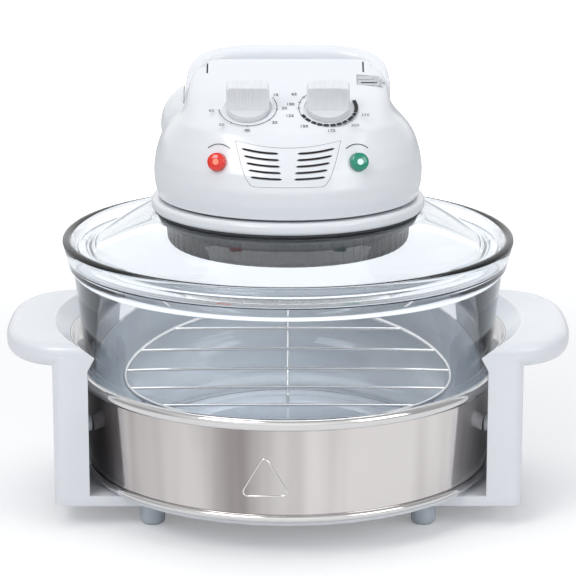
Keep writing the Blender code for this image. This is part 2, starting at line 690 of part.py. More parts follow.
def bowl_profile():
    """Cross-section of the bowl, outer side then inner side."""
    corner_z = BOWL_BOTTOM + BOWL_CORNER
    outer = [(0, BOWL_BOTTOM), (BOWL_BASE_RADIUS, BOWL_BOTTOM)]
    for i in range(1, 5):
        angle = -math.pi / 2 + math.pi / 2 * i / 4
        reach = BOWL_SHOULDER_RADIUS - BOWL_BASE_RADIUS
        outer.append((BOWL_BASE_RADIUS + reach * math.cos(angle), corner_z + BOWL_CORNER * math.sin(angle)))
    collar_foot = BOWL_RIM - BOWL_COLLAR_DROP
    outer += [(BOWL_NECK_RADIUS, collar_foot), (BOWL_COLLAR_FOOT_RADIUS, collar_foot + BOWL_RIM_WIDTH / 3),
              (BOWL_RIM_RADIUS, BOWL_RIM - BOWL_RIM_WIDTH / 2)]
    middle_r = BOWL_RIM_RADIUS - BOWL_RIM_WIDTH / 2
    outer += [(middle_r + r, BOWL_RIM - BOWL_RIM_WIDTH / 2 + z)
              for r, z in arc(0, 0, BOWL_RIM_WIDTH / 2, math.pi / 6, math.pi * 5 / 6, 4)]
    seat = BOWL_NECK_RADIUS - BOWL_WALL
    inner = [(LID_RADIUS + GAP * 3, LEDGE), (seat, LEDGE)]
    for i in range(4, 0, -1):
        angle = -math.pi / 2 + math.pi / 2 * i / 4
        reach = BOWL_SHOULDER_RADIUS - BOWL_BASE_RADIUS - BOWL_WALL / 2
        inner.append((BOWL_BASE_RADIUS - BOWL_WALL / 2 + reach * math.cos(angle),
                      corner_z + (BOWL_CORNER - BOWL_WALL) * math.sin(angle)))
    inner += [(BOWL_BASE_RADIUS - BOWL_WALL / 2, BOWL_FLOOR), (0, BOWL_FLOOR)]
    return outer + inner


def build_bowl():
    turned("glass_bowl", bowl_profile(), "glass")


def build_rack():
    """Round wire rack: rim ring, cross bars and three bent legs welded into one piece."""
    level = BOWL_FLOOR + RACK_LEG_HEIGHT
    rim = [(x, y, level) for x, y in arc(0, 0, RACK_RADIUS, 0, math.tau, RACK_STEPS)[:-1]]
    reach = RACK_RADIUS * math.cos(math.pi / RACK_STEPS)
    drop = RACK_WIRE * RACK_BAR_DROP_SHARE
    rack = wire("wire_rack", rim, RACK_WIRE, "bright_steel", cyclic=True, resolution=1)
    for i in range(RACK_BARS):
        offset = (i - (RACK_BARS - 1) / 2) * 2 * RACK_RADIUS / (RACK_BARS + 1)
        half = math.sqrt(reach ** 2 - offset ** 2)
        bar = rod("rack_bar_form_" + str(i), RACK_WIRE * RACK_BAR_SHARE, (-half, offset, level - drop),
                  (half, offset, level - drop), steps=10)
        join(rack, bar)
    foot_z = BOWL_FLOOR + RACK_WIRE + GAP
    for i, angle in enumerate(RACK_LEG_ANGLES):
        out = Vector((math.cos(angle), math.sin(angle), 0))
        foot_r = BOWL_BASE_RADIUS - BOWL_WALL - RACK_FOOT_REACH
        points = [out * (foot_r - RACK_FOOT_REACH) + Vector((0, 0, foot_z)),
                  out * foot_r + Vector((0, 0, foot_z)),
                  out * (foot_r + RACK_FOOT_REACH / 2) + Vector((0, 0, foot_z + RACK_FOOT_REACH / 2)),
                  out * reach + Vector((0, 0, level))]
        leg = wire("rack_leg_form_" + str(i), [tuple(p) for p in points], RACK_WIRE * RACK_BAR_SHARE, None, resolution=1)
        join(rack, leg)


def build_lid():
    """Shallow glass dish with a thick rim and a hole for the heater."""
    rim_top = LID_FOOT + LID_RIM_HEIGHT
    rim_in = LID_RADIUS - LID_RIM_WIDTH
    edge = LID_RIM_WIDTH / 3
    span = rim_in - LID_SHOULDER_RADIUS
    rise = LID_TOP - rim_top
    profile = [(LID_HOLE_RADIUS, LID_TOP), (LID_SHOULDER_RADIUS, LID_TOP)]
    shares = (0.3, 0.65)
    profile += [(LID_SHOULDER_RADIUS + span * s, LID_TOP - rise * s ** 1.25) for s in shares]
    profile += [(rim_in, rim_top), (LID_RADIUS - edge, rim_top), (LID_RADIUS, rim_top - edge),
                (LID_RADIUS, LID_FOOT + edge / 2), (LID_RADIUS - edge / 2, LID_FOOT), (rim_in, LID_FOOT),
                (rim_in - edge, LID_FOOT + edge)]
    low = LID_TOP - LID_GLASS
    profile += [(LID_SHOULDER_RADIUS + span * s - edge, low - rise * s ** 1.25) for s in reversed(shares)]
    profile += [(LID_SHOULDER_RADIUS - edge, low), (LID_HOLE_RADIUS, low)]
    turned("glass_lid", profile, "glass")
    gasket_out = COLLAR_RADIUS - GASKET_WIDTH / 4
    turned("lid_gasket", [(gasket_out - GASKET_WIDTH, GASKET_BOTTOM), (gasket_out, GASKET_BOTTOM),
                          (gasket_out, GASKET_BOTTOM + GASKET_THICKNESS),
                          (gasket_out - GASKET_WIDTH, GASKET_BOTTOM + GASKET_THICKNESS)], "silicone")


def build_head_floor():
    """White collar ring and the lower housing whose neck makes the dark groove under the dome."""
    top = COLLAR_BOTTOM + COLLAR_HEIGHT
    inner = NECK_RADIUS + GAP
    edge = COLLAR_HEIGHT / 4
    profile = [(inner, COLLAR_BOTTOM), (COLLAR_RADIUS - edge / 2, COLLAR_BOTTOM),
               (COLLAR_RADIUS, COLLAR_BOTTOM + edge / 2), (COLLAR_RADIUS, COLLAR_BOTTOM + edge * 2),
               (COLLAR_RADIUS - edge / 2, top - edge / 2), (COLLAR_RADIUS - COLLAR_WIDTH / 4, top), (inner, top)]
    turned("head_collar", profile, "white_plastic")
    neck_in = NECK_RADIUS - NECK_WALL
    neck_top = TRAY_BOTTOM + NECK_HEIGHT
    profile = [(TRAY_HOLE_RADIUS, TRAY_BOTTOM), (NECK_RADIUS, TRAY_BOTTOM), (NECK_RADIUS, neck_top),
               (neck_in, neck_top), (neck_in, TRAY_TOP), (TRAY_HOLE_RADIUS, TRAY_TOP)]
    turned("lower_housing", profile, "grey_plastic")


def shell_rings(inset, low_lift=0.0, narrow=None):
    """Rings of the head's outer form, drawn in by an inset for the inside of its wall."""
    levels = []
    for height, width, front, rear, power in shell_low_shares:
        z = SHELL_BOTTOM + height * SHELL_HEIGHT
        levels.append((z, width * DOME_RADIUS, -front * DOME_RADIUS, rear * DOME_RADIUS, power))
    top = SHELL_BOTTOM + SHELL_HEIGHT
    for height, width, rear, power in shell_high_shares:
        z = PANEL_FOOT_Z + height * (top - PANEL_FOOT_Z)
        front = PANEL_FOOT_Y + (z - PANEL_FOOT_Z) / math.tan(PANEL_TILT)
        levels.append((z, width * DOME_RADIUS, front, rear * DOME_RADIUS, power))
    rings = []
    for z, width, front, rear, power in levels:
        half_width = width - inset
        if narrow is not None and z > NOTCH_FLOOR - OVERRUN:
            half_width = min(half_width, narrow)
            power = CONSOLE_INNER_SQUARENESS
        lean = inset / math.cos(PANEL_TILT) if z > PANEL_FOOT_Z else inset
        near, far = front + lean * 1.1, rear - inset * 1.3
        if far - near < inset and inset > 0:
            break
        middle, half_depth = (near + far) / 2, (far - near) / 2
        ring = []
        for i in range(SHELL_POINTS):
            x, y = superellipse(half_width, half_depth, power, math.tau * i / SHELL_POINTS)
            ring.append((x, middle + y, z - (inset if z > PANEL_FOOT_Z else 0)))
        rings.append(ring)
    if low_lift:
        first = [(x, y, z - low_lift) for x, y, z in rings[0]]
        rings.insert(0, first)
    return rings


def notch_cutter(side, name):
    """Space beside the console that the bail's arm lies in."""
    inner = BAIL_HALF_WIDTH - BAIL_THICKNESS / 2 - BAIL_SIDE_GAP
    outer = BAIL_HALF_WIDTH + BAIL_THICKNESS / 2 + NOTCH_OUTER_GAP
    front = BAIL_PIVOT_Y - BAIL_EAR_RADIUS - NOTCH_FRONT_GAP
    low = (min(side * inner, side * outer), front, NOTCH_FLOOR)
    high = (max(side * inner, side * outer), DOME_RADIUS, SHELL_BOTTOM + SHELL_HEIGHT + OVERRUN)
    return box("notch_cut_" + name, low, high)


def vent_outline(grow):
    """Front-view outline of the grille: a tapered shield with a dipped top edge."""
    top = SHELL_BOTTOM + VENT_TOP_LIFT
    foot = SHELL_BOTTOM + VENT_FOOT_LIFT
    top_half, foot_half = VENT_TOP_HALF_WIDTH + grow, VENT_FOOT_HALF_WIDTH + grow
    corner = VENT_DIP
    points = [(-foot_half + corner, foot - grow), (foot_half - corner, foot - grow),
              (foot_half - corner / 4, foot - grow + corner / 3), (foot_half + corner / 4, foot + corner)]
    points += [((foot_half + top_half) / 2 + corner / 4, (top + foot) / 2), (top_half, top + grow)]
    for i in range(1, 8):
        share = 1 - i / 4
        points.append((top_half * share, top + grow - VENT_DIP * (1 - share ** 2)))
    points += [(-x, z) for x, z in reversed(points[2:6])]
    return points


def front_plate(name, outline, near, far):
    """Extrude a front-view outline of x and z along Y, from near to far."""
    stand = Matrix.Rotation(math.pi / 2, 4, "X")
    return plate(name, outline, -far, -near, None, stand)


def slot_outline(row, side):
    """One curved louvre slot, which sags towards the grille's middle bar."""
    z_outer = SHELL_BOTTOM + SLOT_TOP_LIFT - row * SLOT_PITCH
    share = (z_outer - SHELL_BOTTOM - VENT_FOOT_LIFT) / (VENT_TOP_LIFT - VENT_FOOT_LIFT)
    outer = VENT_FOOT_HALF_WIDTH + (VENT_TOP_HALF_WIDTH - VENT_FOOT_HALF_WIDTH) * share - SLOT_OUTER_INSET
    inner = SLOT_INNER_X - row * SLOT_INNER_SHIFT + SLOT_INNER_SHIFT * 2
    drop = SLOT_DROP - row * SLOT_DROP_LOSS
    upper, lower = [], []
    steps = 4
    for i in range(steps + 1):
        share = i / steps
        x = inner + (outer - inner) * share
        z = z_outer - drop * (1 - share ** 2)
        taper = SLOT_HEIGHT / 2 * (0.55 if i in (0, steps) else 1)
        upper.append((side * x, z + taper))
        lower.append((side * x, z - taper))
    return upper + lower[::-1]


def lens_frame(side):
    """Axis of a signal lens: local +Z points out of the head."""
    height = SHELL_BOTTOM + LENS_LIFT
    place = Matrix.Translation((side * LENS_X, LENS_FACE_Y, height))
    return place @ Matrix.Rotation(side * LENS_TURN, 4, "Z") @ Matrix.Rotation(math.pi / 2 - LENS_TILT, 4, "X")


def build_shell():
    """Domed head shell with its raised console, dial recesses, vent window and lens holes."""
    shell = loft("upper_shell", shell_rings(0.0), "white_plastic")
    hollow = loft("shell_hollow_cut", shell_rings(SHELL_WALL, OVERRUN, CONSOLE_INNER_HALF_WIDTH))
    cut(shell, hollow)
    for side, name in ((-1, "left"), (1, "right")):
        cut(shell, notch_cutter(side, name))
    front = BAIL_PIVOT_Y - BAIL_EAR_RADIUS - NOTCH_FRONT_GAP
    pocket_x = BAIL_HALF_WIDTH - BAIL_THICKNESS / 2 - BAIL_SIDE_GAP
    pocket = box("latch_pocket_cut", (pocket_x - LATCH_POCKET_WIDTH / 5, front - LATCH_POCKET_DEPTH, NOTCH_FLOOR + LATCH_POCKET_DEPTH),
                 (pocket_x + LATCH_POCKET_WIDTH * 2 / 3, front + OVERRUN, SHELL_BOTTOM + SHELL_HEIGHT + OVERRUN))
    cut(shell, pocket)
    for side, name in ((-1, "timer"), (1, "thermostat")):
        frame = panel_matrix(side * DIAL_X)
        recess = rod("recess_cut_" + name, DIAL_RECESS_RADIUS, frame @ Vector((0, 0, -DIAL_RECESS_DEPTH)),
                     frame @ Vector((0, 0, KNOB_HEIGHT)))
        hole = rod("spindle_cut_" + name, SPINDLE_RADIUS + GAP, frame @ Vector((0, 0, -SPINDLE_BITE)),
                   frame @ Vector((0, 0, OVERRUN)), steps=16)
        cut(shell, recess, hole)
    window = front_plate("vent_window_cut", vent_outline(VENT_GROOVE), -DOME_RADIUS - OVERRUN, -VENT_SEAT_DEPTH * 2)
    cut(shell, window)
    for side, name in ((-1, "power"), (1, "heat")):
        frame = lens_frame(side)
        hole = rod("lens_cut_" + name, LENS_RADIUS + GAP, frame @ Vector((0, 0, -LENS_LENGTH)),
                   frame @ Vector((0, 0, LENS_LENGTH * 2)))
        cut(shell, hole)
    for side, name in ((-1, "left"), (1, "right")):
        inner = BAIL_HALF_WIDTH - BAIL_THICKNESS / 2 - BAIL_SIDE_GAP
        hole = rod("pin_cut_" + name, PIN_RADIUS + GAP, (side * (inner - PIN_BITE - OVERRUN), BAIL_PIVOT_Y, PIVOT_Z),
                   (side * (inner + OVERRUN), BAIL_PIVOT_Y, PIVOT_Z), steps=16)
        cut(shell, hole)
    plunger_y = BAIL_PIVOT_Y + PLUNGER_SETBACK
    hole = rod("plunger_cut", PLUNGER_RADIUS + GAP, (BAIL_HALF_WIDTH, plunger_y, NOTCH_FLOOR - SHELL_WALL * 6),
               (BAIL_HALF_WIDTH, plunger_y, NOTCH_FLOOR + OVERRUN), steps=12)
    cut(shell, hole)
    return shell


def build_vent():
    """Grille insert that continues the dome's surface, with ten louvre slots."""
    grille = front_plate("vent_grille", vent_outline(0.0), -DOME_RADIUS - OVERRUN, -VENT_SEAT_DEPTH * 2)
    CUTTERS.objects.unlink(grille)
    PARTS.objects.link(grille)
    grille.hide_render = False
    grille.display_type = "TEXTURED"
    grille.data.materials.append(make_material("vent_grille", "white_plastic"))
    outer = loft("grille_outer_form", shell_rings(0.0))
    inner = loft("grille_inner_cut", shell_rings(VENT_THICKNESS))
    combine(grille, outer, "INTERSECT")
    cut(grille, inner)
    for row in range(SLOT_ROWS):
        for side, name in ((-1, "left"), (1, "right")):
            slot = front_plate("slot_cut_" + name + str(row), slot_outline(row, side),
                               -DOME_RADIUS - OVERRUN, -VENT_SEAT_DEPTH)
            cut(grille, slot)


def grip_side_cut(name, side):
    """Scoop that leaves the knob's finger bar standing, with a concave flank and ribs."""
    top_half, foot_half = GRIP_TOP_THICKNESS / 2, GRIP_FOOT_THICKNESS / 2
    outline = []
    steps = 5
    for i in range(steps + 1):
        share = i / steps
        z = KNOB_SKIRT_HEIGHT + (KNOB_HEIGHT - KNOB_SKIRT_HEIGHT) * share
        y = top_half + (foot_half - top_half) * (1 - share) ** 2.5
        outline.append((y, z))
    outline += [(top_half, KNOB_HEIGHT + OVERRUN), (KNOB_RADIUS + OVERRUN, KNOB_HEIGHT + OVERRUN),
                (KNOB_RADIUS + OVERRUN, KNOB_SKIRT_HEIGHT)]
    stand = Matrix.Rotation(math.pi / 2, 4, "Z") @ Matrix.Rotation(math.pi / 2, 4, "X")
    if side < 0:
        stand = Matrix.Rotation(math.pi, 4, "Z") @ stand
    return plate(name, outline, -KNOB_RADIUS - OVERRUN, KNOB_RADIUS + OVERRUN, None, stand)


def build_knob(name, side):
    """Dial knob: round skirt, upright finger bar with ribs on both flanks, on its spindle."""
    frame = panel_matrix(side * DIAL_X)
    base = GAP - DIAL_RECESS_DEPTH
    profile = [(0, base), (KNOB_RADIUS, base), (KNOB_RADIUS, KNOB_SKIRT_HEIGHT * 0.7),
               (KNOB_RADIUS * 0.985, KNOB_HEIGHT - GRIP_RIB_WIDTH * 1.5),
               (KNOB_RADIUS * 0.93, KNOB_HEIGHT - GRIP_RIB_WIDTH * 0.4), (KNOB_RADIUS * 0.8, KNOB_HEIGHT), (0, KNOB_HEIGHT)]
    knob = turned(name + "_knob", profile, "knob_plastic", SMALL_STEPS)
    knob.matrix_world = frame
    for flank in (-1, 1):
        scoop = grip_side_cut(name + "_scoop_" + str(flank + 1), flank)
        scoop.matrix_world = frame
        cut(knob, scoop)
    pitch = 2 * KNOB_RADIUS * 0.86 / GRIP_RIBS
    for i in range(GRIP_RIBS):
        x = (i - (GRIP_RIBS - 1) / 2) * pitch
        half = GRIP_TOP_THICKNESS / 2 + GRIP_RIB_DEPTH
        rib = box(name + "_rib_form_" + str(i), (x - GRIP_RIB_WIDTH / 2, -half, KNOB_SKIRT_HEIGHT / 2),
                  (x + GRIP_RIB_WIDTH / 2, half, KNOB_HEIGHT - GRIP_RIB_WIDTH * 2))
        rib.matrix_world = frame
        join(knob, rib)
    socket = rod(name + "_socket_cut", SPINDLE_RADIUS + GAP, (0, 0, base - OVERRUN), (0, 0, base + SPINDLE_BITE / 2 + GAP),
                 steps=16)
    socket.matrix_world = frame
    cut(knob, socket)


def build_control(name, side):
    """Timer or thermostat body behind the panel, and the spindle that its knob turns."""
    frame = panel_matrix(side * DIAL_X)
    wall = SHELL_WALL + DIAL_RECESS_DEPTH + GAP * 2
    half = CONTROL_SIZE / 2
    body = box(name + "_unit", (-half, -half, -wall - CONTROL_DEPTH), (half, half, -wall), "black_plastic")
    body.matrix_world = frame
    bore = rod(name + "_unit_bore_cut", SPINDLE_RADIUS + GAP, (0, 0, -wall - CONTROL_DEPTH / 2 - GAP), (0, 0, OVERRUN - wall),
               steps=16)
    bore.matrix_world = frame
    cut(body, bore)
    spindle = rod(name + "_spindle", SPINDLE_RADIUS, (0, 0, -wall - CONTROL_DEPTH / 2),
                  (0, 0, GAP - DIAL_RECESS_DEPTH + SPINDLE_BITE / 2), "aluminium", steps=16)
    spindle.matrix_world = frame


def build_lens(name, side, finish):
    """Signal lens: a domed plug set in the shell, with its lamp behind it."""
    frame = lens_frame(side)
    dome = [(LENS_RADIUS * math.sin(a), LENS_PROUD * 0.45 + LENS_PROUD * 0.55 * math.cos(a))
            for a in (math.pi / 2 * i / 4 for i in range(5))]
    socket = LAMP_RADIUS + GAP
    profile = dome + [(LENS_RADIUS, -LENS_LENGTH), (socket, -LENS_LENGTH), (socket, -LENS_LENGTH / 2),
                      (0, -LENS_LENGTH / 2)]
    lens = turned(name + "_lens", profile, finish, SMALL_STEPS)
    lens.matrix_world = frame
    tip = -LENS_LENGTH / 2 - GAP
    lamp = rod(name + "_lamp", LAMP_RADIUS, (0, 0, tip - LAMP_LENGTH), (0, 0, tip), "quartz", steps=12)
    lamp.matrix_world = frame


def bail_path():
    """Centre line of the carrying handle in its own plane: across, and along the arms."""
    return [superellipse(BAIL_HALF_WIDTH, BAIL_REACH, BAIL_SQUARENESS, math.pi * i / BAIL_POINTS)
            for i in range(BAIL_POINTS + 1)]


def build_bail():
    """Carrying handle: a swept rounded bar between two round ears, on two pivot pins."""
    pivot = Matrix.Translation((0, BAIL_PIVOT_Y, PIVOT_Z)) @ Matrix.Rotation(BAIL_TILT, 4, "X")
    path = [Vector((x, y, 0)) for x, y in bail_path()]
    rings = []
    for i, point in enumerate(path):
        before, after = path[max(i - 1, 0)], path[min(i + 1, len(path) - 1)]
        along = (after - before).normalized()
        if i in (0, len(path) - 1):
            along = Vector((0, 1 if i == 0 else -1, 0))
        across = Vector((along.y, -along.x, 0))
        ring = []
        for k in range(BAIL_SECTION_POINTS):
            u, v = superellipse(BAIL_THICKNESS / 2, BAIL_HEIGHT / 2, 2.6, math.tau * k / BAIL_SECTION_POINTS)
            ring.append(tuple(point + across * u + Vector((0, 0, v))))
        rings.append(ring)
    bail = loft("bail_handle", rings, "white_plastic")
    bail.matrix_world = pivot
    for side, name in ((-1, "left"), (1, "right")):
        half = BAIL_THICKNESS / 2
        ear = rod("bail_ear_form_" + name, BAIL_EAR_RADIUS, (side * BAIL_HALF_WIDTH - half, 0, 0),
                  (side * BAIL_HALF_WIDTH + half, 0, 0), steps=16)
        ear.matrix_world = pivot
        join(bail, ear)
        bore_in = side * (BAIL_HALF_WIDTH - half - OVERRUN)
        bore = rod("bail_bore_cut_" + name, PIN_RADIUS + GAP, (bore_in, 0, 0),
                   (side * (BAIL_HALF_WIDTH + GAP), 0, 0), steps=16)
        bore.matrix_world = pivot
        cut(bail, bore)
        console = BAIL_HALF_WIDTH - half - BAIL_SIDE_GAP
        pin = rod("pivot_pin_" + name, PIN_RADIUS, (side * (console - PIN_BITE), BAIL_PIVOT_Y, PIVOT_Z),
                  (side * BAIL_HALF_WIDTH, BAIL_PIVOT_Y, PIVOT_Z), "bright_steel", steps=16)
        pin.name = "pivot_pin_" + name


def build_safety_switch():
    """Plunger under the right arm, and the microswitch that it works."""
    y = BAIL_PIVOT_Y + PLUNGER_SETBACK
    run = PLUNGER_SETBACK
    underside = PIVOT_Z + run * math.tan(BAIL_TILT) - BAIL_HEIGHT / 2 / math.cos(BAIL_TILT)
    top = underside - PLUNGER_RADIUS * math.tan(BAIL_TILT) - GAP
    low = NOTCH_FLOOR - PLUNGER_DEPTH
    rod("safety_plunger", PLUNGER_RADIUS, (BAIL_HALF_WIDTH, y, low), (BAIL_HALF_WIDTH, y, top), "grey_plastic", steps=12)
    box("safety_microswitch", (BAIL_HALF_WIDTH - SWITCH_WIDTH / 2, y - SWITCH_LENGTH / 2, low - GAP - SWITCH_HEIGHT),
        (BAIL_HALF_WIDTH + SWITCH_WIDTH / 2, y + SWITCH_LENGTH / 2, low - GAP), "black_plastic")


def build_terminal_cover():
    """Rounded rear cover over the mains terminals, with the bare cord gland in its back."""
    centre = Vector((COVER_X, COVER_Y, SHELL_BOTTOM + COVER_LIFT))
    bm = bmesh.new()
    bmesh.ops.create_uvsphere(bm, u_segments=20, v_segments=12, radius=1)
    bmesh.ops.scale(bm, vec=(COVER_HALF_X, COVER_HALF_Y, COVER_HALF_Z), verts=bm.verts)
    bmesh.ops.translate(bm, vec=centre, verts=bm.verts)
    cover = add_object("terminal_cover", mesh_from(bm, "terminal_cover"), "white_plastic")
    cut(cover, loft("cover_seat_cut", shell_rings(-GAP, OVERRUN)))
    notch_outer = BAIL_HALF_WIDTH + BAIL_THICKNESS / 2 + NOTCH_OUTER_GAP
    cut(cover, box("cover_notch_cut", (-notch_outer, COVER_Y - COVER_HALF_Y - OVERRUN, NOTCH_FLOOR),
                   (COVER_X + COVER_HALF_X + OVERRUN, DOME_RADIUS, SHELL_BOTTOM + SHELL_HEIGHT)))


def build_cord_gland(shell):
    """Bare gland for the supply cord, low in the middle of the shell's rear."""
    frame = Matrix.Translation((0, DOME_RADIUS, SHELL_BOTTOM + GLAND_LIFT)) @ Matrix.Rotation(-math.pi / 2, 4, "X")
    seat = rod("gland_seat_cut", GLAND_FLANGE_RADIUS + GAP, (0, 0, -GLAND_SEAT_DEPTH), (0, 0, GLAND_LENGTH), steps=16)
    hole = rod("gland_hole_cut", GLAND_RADIUS + GAP, (0, 0, -GLAND_LENGTH), (0, 0, GLAND_LENGTH), steps=16)
    for cutter in (seat, hole):
        cutter.matrix_world = frame
        cut(shell, cutter)
    foot = GAP - GLAND_SEAT_DEPTH
    profile = [(GLAND_BORE, foot - SHELL_WALL * 1.5), (GLAND_RADIUS, foot - SHELL_WALL * 1.5), (GLAND_RADIUS, foot),
               (GLAND_FLANGE_RADIUS, foot), (GLAND_FLANGE_RADIUS, foot + GLAND_LENGTH / 4),
               (GLAND_RADIUS, foot + GLAND_LENGTH / 3), (GLAND_RADIUS * 0.8, GLAND_LENGTH), (GLAND_BORE, GLAND_LENGTH)]
    gland = turned("cord_gland", profile, "black_plastic", 16)
    gland.matrix_world = frame


def fluted_ring(radius, flute, z):
    """Ring of points whose every second pair stands in, for the ribbed heater wall."""
    points = []
    count = HEATER_RIBS * 4
    for i in range(count):
        r = radius if i % 4 in (0, 1) else radius - flute
        angle = math.tau * i / count
        points.append((r * math.cos(angle), r * math.sin(angle), z))
    return points


def build_heater():
    """Ribbed heater cup under the lid, its clamp ring, reflector, element, guard and sensor."""
    knee = HEATER_BOTTOM + HEATER_ROUND
    rings = [fluted_ring(HEATER_RADIUS - HEATER_ROUND * 0.75, 0, HEATER_BOTTOM),
             fluted_ring(HEATER_RADIUS - HEATER_ROUND * 0.25, HEATER_RIB * 0.4, HEATER_BOTTOM + HEATER_ROUND * 0.3),
             fluted_ring(HEATER_RADIUS, HEATER_RIB, knee), fluted_ring(HEATER_RADIUS, HEATER_RIB, HEATER_TOP)]
    cup = loft("heater_housing", rings, "dark_steel")
    inner = HEATER_RADIUS - HEATER_RIB - HEATER_WALL
    floor_r = inner - HEATER_ROUND
    mouth_r = floor_r - GUARD_LIP
    cavity = turned("heater_cavity_cut", [
        (0, HEATER_BOTTOM - OVERRUN), (mouth_r, HEATER_BOTTOM - OVERRUN), (mouth_r, HEATER_BOTTOM + HEATER_WALL),
        (floor_r, HEATER_BOTTOM + HEATER_WALL), (inner, knee), (inner, HEATER_TOP + OVERRUN), (0, HEATER_TOP + OVERRUN)])
    cut(cup, cavity)
    ring_in = HEATER_RADIUS - CLAMP_RING_WIDTH + COLLAR_WIDTH
    ring_low = CLAMP_RING_TOP - CLAMP_RING_THICKNESS
    turned("clamp_ring", [(ring_in, ring_low), (HEATER_RADIUS + COLLAR_WIDTH, ring_low),
                          (HEATER_RADIUS + COLLAR_WIDTH, CLAMP_RING_TOP), (ring_in, CLAMP_RING_TOP)], "bright_steel")
    dish_r = inner - GAP * 2
    top = HEATER_TOP - GAP
    flat_r = dish_r * REFLECTOR_FLAT_SHARE
    thick = REFLECTOR_THICKNESS
    low = top - thick
    turned("reflector", [(REFLECTOR_HOLE_RADIUS, top), (flat_r, top), (dish_r, top - REFLECTOR_DISH),
                         (dish_r, low - REFLECTOR_DISH), (flat_r, low), (REFLECTOR_HOLE_RADIUS, low)], "bright_steel")
    level = HEATER_BOTTOM + HEATER_WALL + GUARD_THICKNESS + TUBE_RADIUS + (HEATER_DEPTH - HEATER_ROUND) / 4
    start = -math.pi / 2 + (math.tau - TUBE_ARC) / 2
    points = [(x, y, level) for x, y in arc(0, 0, TUBE_RING_RADIUS, start, start + TUBE_ARC, TUBE_POINTS)]
    wire("halogen_tube", points, TUBE_RADIUS, "quartz", resolution=2)
    half_open = (math.tau - TUBE_ARC) / 2
    end_lean = half_open + TUBE_ARC / TUBE_POINTS / 2
    reach = TUBE_RING_RADIUS * math.sin(half_open) - TUBE_RADIUS * math.sin(end_lean) - GAP
    for side, name in ((-1, "left"), (1, "right")):
        x = side * (reach - HOLDER_LENGTH / 2)
        y = -TUBE_RING_RADIUS * math.cos(half_open)
        box("tube_holder_" + name, (x - HOLDER_LENGTH / 2, y - HOLDER_WIDTH / 2, level - TUBE_RADIUS),
            (x + HOLDER_LENGTH / 2, y + HOLDER_WIDTH / 2, low - GAP), "ceramic")
    build_guard(floor_r)
    build_sensor(low - GAP)


def build_guard(radius):
    """Slotted guard plate that closes the heater cup from below."""
    base = HEATER_BOTTOM + HEATER_WALL + GAP
    plate_r = radius - GAP
    guard = turned("element_guard", [(0, base), (plate_r, base), (plate_r, base + GUARD_THICKNESS),
                                     (0, base + GUARD_THICKNESS)], "bright_steel")
    for i in range(GUARD_SLOTS):
        angle = math.tau * (i + 0.5) / GUARD_SLOTS
        half = math.pi / GUARD_SLOTS * GUARD_SLOT_WIDTH_SHARE
        outline = arc(0, 0, radius - GUARD_SLOT_OUT_INSET, angle - half, angle + half, 3)
        outline += arc(0, 0, GUARD_SLOT_IN, angle + half, angle - half, 1)
        cut(guard, plate("guard_slot_cut_" + str(i), outline, base - OVERRUN, base + GUARD_THICKNESS + OVERRUN))


def build_sensor(ceiling):
    """Thermostat's sensing bulb, clipped under the reflector between the fan and the tube."""
    z = ceiling - SENSOR_RADIUS
    y = (AIR_FAN_RADIUS + TUBE_RING_RADIUS - TUBE_RADIUS) / 2
    rod("sensor_bulb", SENSOR_RADIUS, (-SENSOR_LENGTH / 2, y, z), (SENSOR_LENGTH / 2, y, z), "aluminium", steps=12)


def build_fan(name, radius, height, low, finish):
    """Paddle fan: thin disc, hub and straight blades joined in one piece, pressed on the shaft."""
    hub_top = low + height
    fan = turned(name, [(SHAFT_RADIUS + GAP, low), (radius * 0.5, low), (radius * 0.5, low + FAN_DISC_THICKNESS),
                        (FAN_HUB_RADIUS, low + FAN_DISC_THICKNESS), (FAN_HUB_RADIUS, hub_top),
                        (SHAFT_RADIUS + GAP, hub_top)], finish, SMALL_STEPS)
    for i in range(FAN_BLADES):
        turn = Matrix.Rotation(math.tau * i / FAN_BLADES, 4, "Z")
        blade = box(name + "_blade_form_" + str(i), (FAN_HUB_RADIUS * 0.7, -FAN_BLADE_THICKNESS / 2, low + FAN_DISC_THICKNESS / 2),
                    (radius, FAN_BLADE_THICKNESS / 2, hub_top - FAN_DISC_THICKNESS), None, turn)
        join(fan, blade)


